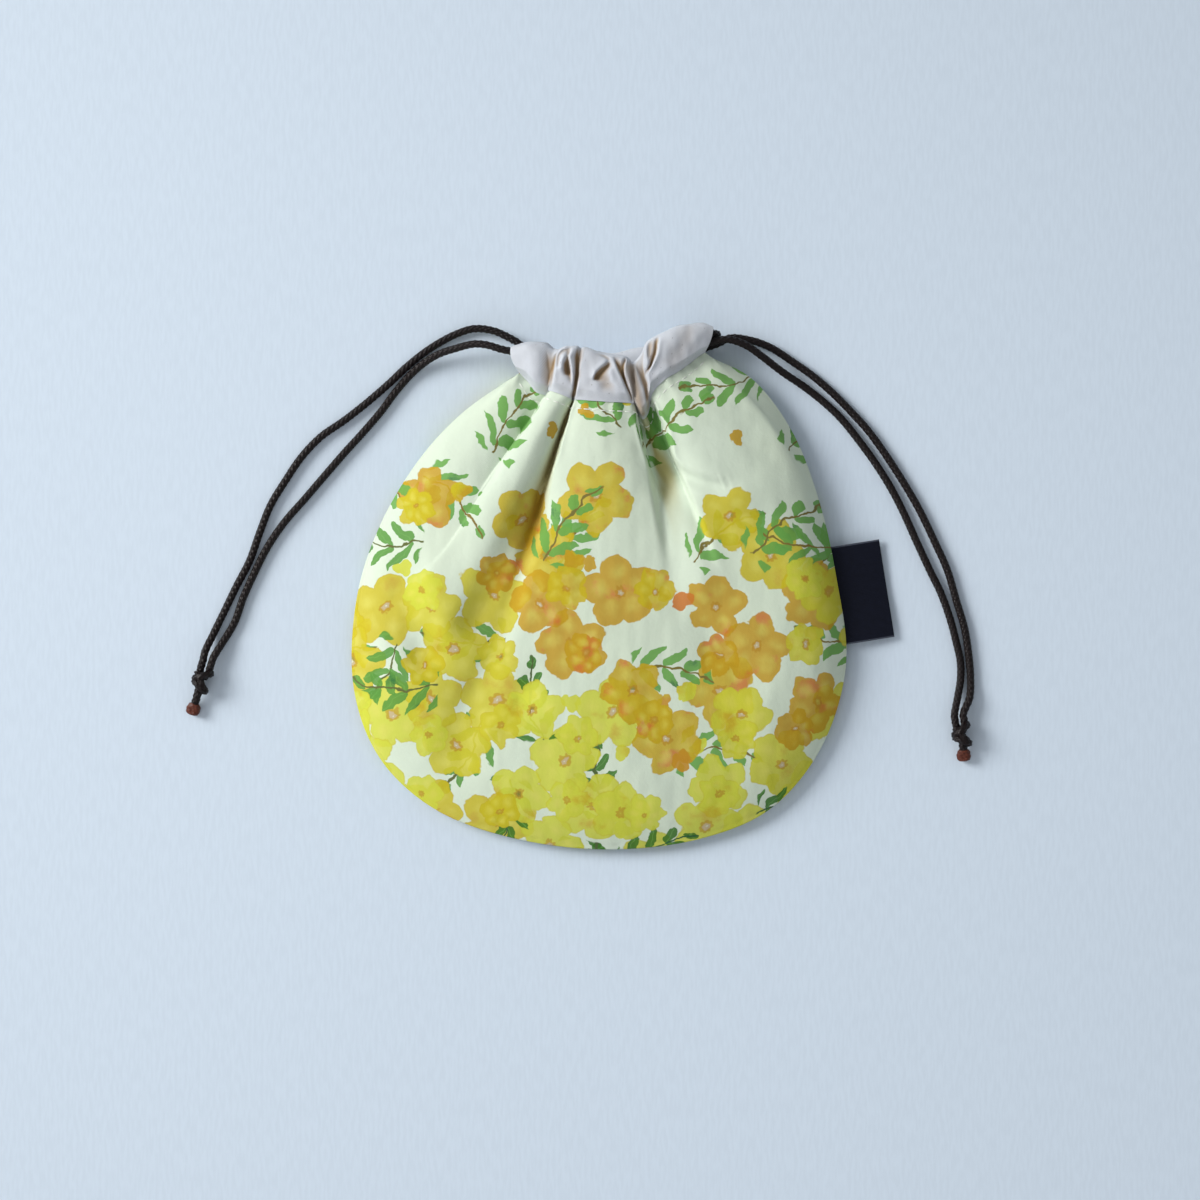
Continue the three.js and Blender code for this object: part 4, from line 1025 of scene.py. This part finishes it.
def casing_object(name, outer, inner, long_way, painted_shade):
    rings, count = outer.shape[:2]
    points = np.concatenate([outer.reshape(-1, 3), inner.reshape(-1, 3)])
    shown = grid_quads(rings, count, wrap=True)
    hidden = grid_quads(rings, count, rings * count, wrap=True)[:, ::-1]
    j = np.arange(count)
    after = (j + 1) % count
    other = rings * count
    last = (rings - 1) * count
    first_end = np.stack([j, after, after + other, j + other], axis=-1)
    last_end = np.stack([last + j, last + j + other, last + after + other, last + after], axis=-1)
    faces = np.concatenate([shown, hidden, first_end, last_end]).tolist()
    around = np.cumsum(np.linalg.norm(np.diff(outer, axis=1, prepend=outer[:, :1]), axis=-1), axis=1)
    cloth = np.stack(np.broadcast_arrays(GATHER_RATIO * long_way[:, None], around, painted_shade), axis=-1)
    cloth = cloth.reshape(-1, 3)
    return mesh_object(name, points, faces, canvas, np.concatenate([cloth, cloth]))


def trim_front(x, shorten):
    from_left = np.clip(1 - (x - LEFT_X) / SLOT_REACH, 0, SLOT_LIMIT)
    from_right = np.clip(1 - (RIGHT_X - x) / SLOT_REACH, 0, SLOT_LIMIT)
    return x + shorten * (LEFT_WALL_CUT * from_left - RIGHT_WALL_CUT * from_right)


def make_front_casing():
    level = front_level(SEAM[:, 0])
    front = CASING_HALF + PLEAT_FULLNESS * FULL
    back = np.full(len(FULL), CASING_HALF)
    shells = []
    for inset in (0, CANVAS):
        sections, share, side = casing_rings(seam_points, RISE, level, front, back, inset)
        rings = np.stack([spread(sections[..., k].T).T for k in range(3)], axis=-1)
        shorten = np.where(side > 0, smooth(0.85, 1, share) / 2, smooth(0, 0.25, share))
        rings[..., 0] = trim_front(rings[..., 0], shorten)
        shells.append(rings)
    outer = shells[0]
    x, y = outer[..., 0], outer[..., 1]
    on_front = np.where(side > 0, smooth(0, 0.1, share), 0) * (1 - smooth(0.93, 1, share))
    relief = strokes_relief(x, y, CASING_STROKES) + lips_relief(x, y, CASING_LIPS)
    relief += CASING_RUMPLE[0] * ripples(x, y, CASING_RUMPLE[1])
    room = np.minimum(front_level(x) + HOLLOW_FLOOR - outer[..., 2], 0)
    relief = np.maximum(relief, room) * on_front
    relief = soften(relief[..., None], 2)[..., 0]
    bulge = END_BULGE * np.sin(math.pi * share)
    left_end = np.clip(1 - column_ways / END_REACH, 0, 1) ** 2
    right_end = np.clip(1 - (seam_ways[-1] - column_ways) / END_REACH, 0, 1) ** 2
    for rings in shells:
        rings[..., 2] += relief
        rings[..., 0] += bulge * (right_end / 2 - left_end)[:, None]
    # Painted shade: how deep the canvas lies between its folds, with the narrow fold's band of painted shade
    between = hollow_between(outer[..., 2].T, CASING_HOLLOW_COLUMNS, CASING_HOLLOW_DEPTH).T
    away, _ = nearest_on(x, y, SHADED_FOLD)
    shaded = SHADED_AMOUNT * np.exp(-((away / SHADED_WIDTH) ** 2))
    painted_shade = np.maximum(np.clip(between - relief / CASING_HOLLOW_DEPTH, 0, 1), shaded) * on_front
    return casing_object("front_casing_canvas", *shells, column_ways, painted_shade)


def make_back_casing():
    first = BACK_CASING_INSET / MOUTH_WIDTH
    share = np.linspace(first, 1 - first, BACK_CASING_RINGS)
    x, y, height = back_station(share)
    gather = back_gather(share)
    seam = np.column_stack([x, y, np.maximum(back_seam_level(share), SEAM_ALLOWANCE)])
    rise = np.column_stack([0 * x, height + gather / 2])
    front = np.full(len(x), CASING_HALF)
    back = CASING_HALF + BACK_PLEAT_DEPTH - gather
    level = np.full(len(x), BACK_LEVEL)
    shells = [casing_rings(seam, rise, level, front, back, inset)[0] for inset in (0, CANVAS)]
    return casing_object("back_casing_canvas", *shells, x, 0)


front_casing = make_front_casing()
back_casing = make_back_casing()

# Cords
CORD = 2.8
CORD_RADIUS = CORD / 2
CORD_REST = CORD_RADIUS + 0.1
CORD_FALL = 45
CORD_CLIMB = 16
CORD_STEP = 0.2
CORD_SIDES = 36
BRAID_DEPTH = 0.42
BRAID_PITCH = 2.0
BRAID_STRANDS = 5
KNOT_RING = 2.3
KNOT_HALF = 4.6
KNOT_LEVEL = KNOT_RING + CORD_RADIUS
MELTED_LENGTH = 4.4
MELTED_NECK = 0.62
MELTED_SWELL = 1.15
MELTED_FLATNESS = 0.95
MELTED_LUMPS = 0.14
MELTED_SIDES = 32
STRAND_OFFSET = CORD_RADIUS + 0.15
BRAID_HOLLOW = 0.7

# Each free end in plan, from inside its casing to its knot
TAIL_ROUTES = {
    "left_cord_front_tail": [
        (-28.9, 85.9), (-31.5, 86.4), (-34.3, 87.0), (-39.2, 88.5), (-44.1, 88.9), (-50.4, 87.5),
        (-56.0, 85.8), (-60.9, 83.1), (-66.1, 78.8), (-71.4, 72.8), (-76.6, 65.8), (-82.6, 58.8),
        (-89.6, 51.1), (-96.6, 43.0), (-103.2, 35.3), (-110.2, 27.3), (-116.2, 18.5), (-121.1, 8.8),
        (-124.6, 1.0), (-127.7, -7.7), (-131.9, -15.0), (-134.8, -19.9),
    ],
    "left_cord_back_tail": [
        (-20.9, 83.3), (-22.6, 84.0), (-24.6, 85.6), (-28.0, 89.2), (-32.5, 91.9), (-37.4, 94.0),
        (-44.1, 94.7), (-50.4, 92.8), (-56.3, 89.8), (-61.9, 86.1), (-67.9, 81.2), (-73.8, 75.6),
        (-81.9, 68.6), (-89.6, 62.6), (-97.6, 57.0), (-104.3, 50.0), (-110.2, 41.3), (-115.1, 33.2),
        (-119.0, 23.4), (-122.5, 13.6), (-127.0, 4.9), (-131.2, -3.8), (-135.1, -11.9), (-137.9, -18.2),
    ],
    "right_cord_front_tail": [
        (38.5, 89.5), (41.4, 90.1), (45.1, 90.3), (50.8, 88.4), (56.0, 85.0), (63.7, 79.4), (71.0, 74.7),
        (77.7, 69.6), (84.0, 63.7), (90.3, 56.0), (96.2, 47.9), (101.5, 39.5), (106.0, 30.8),
        (110.9, 19.9), (115.1, 10.8), (119.3, 2.1), (122.5, -7.0), (124.6, -15.0), (126.0, -21.7),
        (126.0, -28.0), (124.9, -33.9),
    ],
    "right_cord_back_tail": [
        (30.3, 85.2), (33.0, 86.5), (37.0, 88.0), (41.0, 89.4), (45.5, 91.4), (52.8, 90.6), (59.5, 88.2),
        (66.8, 83.6), (74.2, 78.4), (80.8, 72.8), (87.1, 66.5), (93.8, 59.1), (100.1, 50.4),
        (106.4, 40.6), (112.0, 30.8), (117.2, 19.9), (121.4, 10.5), (124.6, -0.3), (127.4, -9.8),
        (128.8, -18.5), (129.5, -26.9), (129.1, -34.0),
    ],
}
LOOP_ROUTES = {
    "left_cord_loop": [
        (-28.9, 85.9, 10.9), (-25.4, 84.9, 11.7), (-20.9, 82.6, 12.7), (-12.3, 81.6, 14.3), (1.5, 79.0, 15.3),
        (14.9, 78.1, 14.9), (15.5, 81.4, 14.8), (21.5, 86.4, 14.2), (27.8, 89.2, 13.4), (32.9, 91.2, 12.3),
        (37.5, 92.7, 10.9), (39.8, 92.5, 9.9), (40.8, 92.4, 7.6), (39.8, 92.5, 5.3), (37.5, 92.7, 4.3),
        (28.8, 88.2, 4.3), (21.6, 84.6, 4.3), (14.6, 81.9, 4.3), (7.6, 80.1, 4.3), (0.6, 80.0, 4.3),
        (-6.5, 80.7, 4.3), (-13.6, 81.9, 4.3), (-20.9, 83.3, 4.3),
    ],
    "right_cord_loop": [
        (38.5, 89.5, 10.9), (34.1, 88.0, 12.3), (29.1, 86.0, 13.4), (23.3, 83.5, 14.2), (18.1, 79.3, 14.8),
        (15.6, 74.8, 14.9), (1.0, 75.7, 15.3), (-12.9, 78.3, 14.3), (-21.5, 79.3, 12.7), (-25.9, 81.4, 11.5),
        (-27.0, 82.0, 8.5), (-25.9, 81.4, 5.5), (-23.2, 80.1, 4.3), (-14.2, 78.5, 4.3), (-6.9, 77.4, 4.3),
        (0.5, 76.6, 4.3), (8.1, 76.8, 4.3), (15.6, 78.6, 4.3), (23.0, 81.5, 4.3), (30.3, 85.2, 4.3),
    ],
}
KNOTS = {
    "left": {"middle": (-139.1, -28.4), "towards": (-0.287, -0.958), "tail": 7.8},
    "right": {"middle": (126.2, -47.3), "towards": (0.132, -0.991), "tail": 4.6},
}


def braid(along, angle):
    """Relief of a round braid: two sets of slanting yarns that pass over each other by turns."""
    turns = BRAID_STRANDS * angle / (2 * math.pi)
    u = turns + along / BRAID_PITCH
    v = turns - along / BRAID_PITCH
    over = (np.floor(u) + np.floor(v)) % 2
    across = np.where(over > 0, u % 1, v % 1) * 2 - 1
    length = np.where(over > 0, v % 1, u % 1) * 2 - 1
    crown = np.sqrt(np.maximum(1 - across**2, 0)) * (1 - BRAID_HOLLOW * length**2)
    return BRAID_DEPTH * (crown - 1)


def melted(along, angle):
    """Relief of a cord's melted end: flattened from above, with lumps and yarn ends."""
    lumps = np.sin(3 * angle + 2.2 * along) * np.sin(2.1 * along + 0.8)
    lumps = lumps + 0.5 * np.sin(7 * angle - 1.7 * along)
    flattened = np.sin(angle) ** 2 * np.sin(np.clip(along / MELTED_LENGTH, 0, 1) * math.pi)
    return MELTED_LUMPS * lumps - MELTED_FLATNESS * flattened


def cord_tube(name, path, thickness=1):
    radii = np.full(len(path), thickness * CORD_RADIUS)
    return tube(name, path, radii, CORD_SIDES, braided_cord, relief=braid)


def cord_object(name, path):
    path = at_lengths(path, np.arange(0, lengths_along(path)[-1], CORD_STEP))
    return cord_tube(name, path), path


def knot_entry(knot, side):
    along = np.array(knot["towards"])
    across = np.array([along[1], -along[0]])
    strand = np.array(knot["middle"]) + across * side * STRAND_OFFSET
    return [strand - along * stop for stop in (KNOT_HALF + CORD, KNOT_HALF + 0.3)]


def tail_path(name, start_level, knot, side):
    fine = catmull(TAIL_ROUTES[name] + knot_entry(knot, side))
    along = lengths_along(fine)
    fallen = lerp(start_level, CORD_REST, smooth(3, CORD_FALL, along))
    climb = (KNOT_LEVEL - CORD_REST) * smooth(along[-1] - CORD_CLIMB, along[-1] - CORD, along)
    return np.column_stack([fine, fallen + climb])


# A knot's two wraps: how far along it each sits, how it slants, and its size
KNOT_WRAPS = ((-2.0, 1.5, 1.0), (1.7, -1.2, 0.93))
# The stretch of cord that lies slanting over the wraps: half its length and slant, its level and its bend
OVER_HALF = 2.9
OVER_SLANT = 2.1
OVER_LEVEL = 2.2
OVER_BEND = 1.1
OVER_THICKNESS = 0.95
# The strands draw together inside the knot
STRAND_STOPS = (-KNOT_HALF - 1.2, -0.8)
STRAND_SQUEEZE = 0.3
TAIL_START = 0.5
TAIL_HIDDEN = 2.2
TAIL_THICKNESS = 1.08
TAIL_CLEARANCE = 0.3


def make_knot(side, knot):
    """Both strands of a cord tied together: two slanting wraps round the strands, and a short melted end."""
    along = np.array([*knot["towards"], 0])
    across = np.array([along[1], -along[0], 0])
    middle = np.array([*knot["middle"], KNOT_LEVEL])
    stop = KNOT_HALF + knot["tail"]

    def place(a, b, c):
        return middle + np.outer(a, along) + np.outer(b, across) + np.outer(c, (0, 0, 1))

    def tail_place(way):
        sink = (KNOT_LEVEL - CORD_REST - TAIL_CLEARANCE) * smooth(2, stop, way)
        return place(way, 0 * way, -sink)

    pieces = []
    turns = np.linspace(0, 2 * math.pi, 72)
    for number, (centre, slant, size) in enumerate(KNOT_WRAPS):
        radius = KNOT_RING * size
        ring = place(centre + slant * np.cos(turns), radius * np.cos(turns), radius * np.sin(turns))
        pieces.append(cord_tube(f"wrap{number}", ring))
    cross = np.linspace(-1, 1, 40)
    over = place(OVER_HALF * cross, -OVER_SLANT * cross, OVER_LEVEL - OVER_BEND * cross**2)
    pieces.append(cord_tube("over", over, OVER_THICKNESS))
    for sign in (-1, 1):
        way = np.linspace(*STRAND_STOPS, 30)
        aside = sign * STRAND_OFFSET * lerp(1, STRAND_SQUEEZE, smooth(-4, -1, way))
        pieces.append(cord_tube(f"strand{sign}", place(way, aside, 0 * way)))
    tail = tail_place(np.linspace(TAIL_START, stop - TAIL_HIDDEN, 50))
    pieces.append(cord_tube("tail", tail, TAIL_THICKNESS))
    body = join(f"{side}_knot_tied", pieces)
    f = np.linspace(0, 1, 26)
    swell = np.sqrt(np.maximum(1 - ((f - 0.5) / 0.53) ** 2, 0.02))
    blob = CORD_RADIUS * (MELTED_NECK + MELTED_SWELL * swell)
    blob *= np.minimum(1, 3 * np.sqrt(1.02 - f))
    end_path = tail_place(stop - MELTED_LENGTH * (1 - f))
    end = tube(f"{side}_melted_end", end_path, blob, MELTED_SIDES, melted_end, relief=melted)
    return body, end


def dress(piece, solids):
    """Puts a piece on the body, in place of the solids that it stands for."""
    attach(piece, "root")
    if solids:
        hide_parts(*solids)


for side, outer in (("left", 1), ("right", -1)):
    knot = KNOTS[side]
    body, end = make_knot(side, knot)
    for which, level, place in (("front", FRONT_END_LEVEL, -outer), ("back", BACK_LEVEL, outer)):
        node = f"{side}_cord_{which}_tail"
        made, path = cord_object(f"{side}_{which}_cord_end", tail_path(node, level, knot, place))
        dress(made, [node])
    loop_node = f"{side}_cord_loop"
    loop, _ = cord_object(f"{side}_cord_in_casings", catmull(LOOP_ROUTES[loop_node]))
    for made, node in ((body, f"{side}_knot"), (end, f"{side}_knot"), (loop, loop_node)):
        dress(made, [node])


# Label
LABEL_WIDTH = 17
LABEL_SHARE = 0.797
LABEL_DROOP = 1.8
LABEL_SWELL = 0.35
LABEL_WAVE = 0.18
LABEL_LAYER = 0.42
LABEL_SEAM = 0.4
LABEL_STEPS = 48
LABEL_ROWS = 26
LABEL_BEND_STEPS = 7


def make_label():
    """A woven strip folded double, with its fold outwards and its cut ends in the side seam."""
    reach = LABEL_LENGTH / rim_length / 2
    inner = rim_point(np.linspace(LABEL_SHARE - reach, LABEL_SHARE + reach, LABEL_STEPS))
    chord = inner[-1] - inner[0]
    outward = np.array([chord[1], -chord[0], 0]) / np.linalg.norm(chord)
    f = np.linspace(0, 1, LABEL_STEPS)
    fold = inner[0] + chord * f[:, None] + outward * LABEL_WIDTH
    half = LABEL_LAYER / 2
    rows = []
    for way in np.linspace(0, 1, LABEL_ROWS):
        row = lerp(inner - outward * LABEL_SEAM, fold, way)
        row[:, 2] += half - LABEL_DROOP * way**1.3 + LABEL_SWELL * math.sin(math.pi * way)
        row[:, 2] += LABEL_WAVE * np.sin(2 * math.pi * 1.1 * f + 0.6) * way
        rows.append(row)
    below = [row - (0, 0, LABEL_LAYER) for row in reversed(rows)]
    turn = math.pi / (LABEL_BEND_STEPS + 1)
    bend = [
        rows[-1] + half * (outward * math.sin(turn * k) + np.array([0, 0, math.cos(turn * k) - 1]))
        for k in range(1, LABEL_BEND_STEPS + 1)
    ]
    grid = np.stack(rows + bend + below)
    around = np.cumsum(np.linalg.norm(np.diff(grid[:, 0], axis=0, prepend=grid[:1, 0]), axis=-1))
    cloth = np.stack(np.broadcast_arrays(around[:, None], f * LABEL_LENGTH, 0), axis=-1)
    return cloth_sheet("side_label_woven", grid, LABEL_LAYER * 0.45, woven_label, cloth)


label = make_label()


# Topstitching under the front casing
STITCH_DROP = 3.0
STITCH_LENGTH = 2.2
STITCH_GAP = 0.7
STITCH_RADIUS = 0.2
STITCH_SUNK = 0.14
STITCH_END = 4
STITCH_STEPS = 7
STITCH_SIDES = 8
STITCH_ROW = 6
STITCH_RISE = 0.14
STITCH_LEVEL = 0.02
# Where the stitches lie at the top, on the middle pleat, and between which distances from there they sink
PLEAT_X = 1.5
PLEAT_SINK = (8, 14)


def make_topstitch():
    """Running stitches below the casing, pulled deeper into the cloth away from the middle pleat."""
    line = np.stack([at_lengths(front_grid[:, c], [STITCH_DROP])[0] for c in range(front_grid.shape[1])])
    normal = normals_of(front_grid)[STITCH_ROW]
    along = lengths_along(line)
    arc = np.sin(np.linspace(0, math.pi, STITCH_STEPS))
    stitches = []
    start = STITCH_END
    while start + STITCH_LENGTH < along[-1] - STITCH_END:
        stops = np.linspace(start, start + STITCH_LENGTH, STITCH_STEPS)
        centre = at_lengths(line, stops)
        out = np.stack([np.interp(stops, along, normal[:, k]) for k in range(3)], axis=1)
        sunk = STITCH_SUNK * smooth(*PLEAT_SINK, abs(centre[0, 0] - PLEAT_X))
        path = centre + out * (STITCH_LEVEL - sunk + STITCH_RISE * arc)[:, None]
        radii = STITCH_RADIUS * (0.55 + 0.45 * arc)
        stitches.append(tube(f"stitch{len(stitches)}", path, radii, STITCH_SIDES, sewing_thread))
        start += STITCH_LENGTH + STITCH_GAP
    return join("casing_topstitch", stitches)


topstitch = make_topstitch()

for made, solids, slot in (
    (front_cloth, ["front_panel"], "print_cotton"),
    (back_cloth, ["back_panel"], "print_cotton"),
    (front_casing, ["front_casing"], "natural_canvas"),
    (back_casing, ["back_casing"], "natural_canvas"),
    (label, ["side_label"], "woven_label"),
    (topstitch, [], "natural_canvas"),
):
    dress(made, solids)


# Floor, world and lights
FLOOR_HALF = 3000
FLOOR_DROP = 0.05
SKY_STRENGTH = 0.42


def make_floor():
    nodes = Nodes("floor")
    place = nodes.add("ShaderNodeNewGeometry", {}, "Position")
    grain = nodes.noise(nodes.scale(place, (900.0, 160.0, 1.0)), 1.0, 2.0)
    color = nodes.mix(nodes.step(grain, 0.3, 0.7), srgb(203, 216, 229), srgb(207, 220, 233))
    normal = nodes.bump(grain, 0.02 * MM, 0.3)
    material = nodes.finish(color, normal, roughness=0.7, sheen=0.0, specular=0.2)
    corners = [(FLOOR_HALF * x, FLOOR_HALF * y, -FLOOR_DROP) for x, y in ((-1, -1), (1, -1), (1, 1), (-1, 1))]
    floor = mesh_object("floor", corners, [(0, 1, 2, 3)], material)


def make_world():
    world = bpy.data.worlds.new("studio")
    world.use_nodes = True
    sky = world.node_tree.nodes["Background"]
    sky.inputs["Color"].default_value = srgb(248, 251, 255)
    sky.inputs["Strength"].default_value = SKY_STRENGTH
    bpy.context.scene.world = world


def make_light(name, place, aim, size, spread, power, color):
    data = bpy.data.lights.new(name, "AREA")
    data.shape = "DISK"
    data.size = size * MM
    data.spread = math.radians(spread)
    data.energy = power
    data.color = color
    light = bpy.data.objects.new(name, data)
    light.location = np.array(place) * MM
    direction = Vector(aim) - Vector(place)
    light.rotation_euler = direction.to_track_quat("-Z", "Y").to_euler()
    bpy.context.scene.collection.objects.link(light)


make_floor()
make_world()
make_light(
    "window", place=(-1600, 650, 1000), aim=(-120, 40, 0), size=1150, spread=50, power=4.7,
    color=(1.0, 0.99, 0.97),
)
make_light(
    "room", place=(-700, -1100, 800), aim=(0, 0, 0), size=1200, spread=180, power=3.8,
    color=(0.97, 0.98, 1.0),
)
bpy.context.scene.view_settings.view_transform = "Standard"
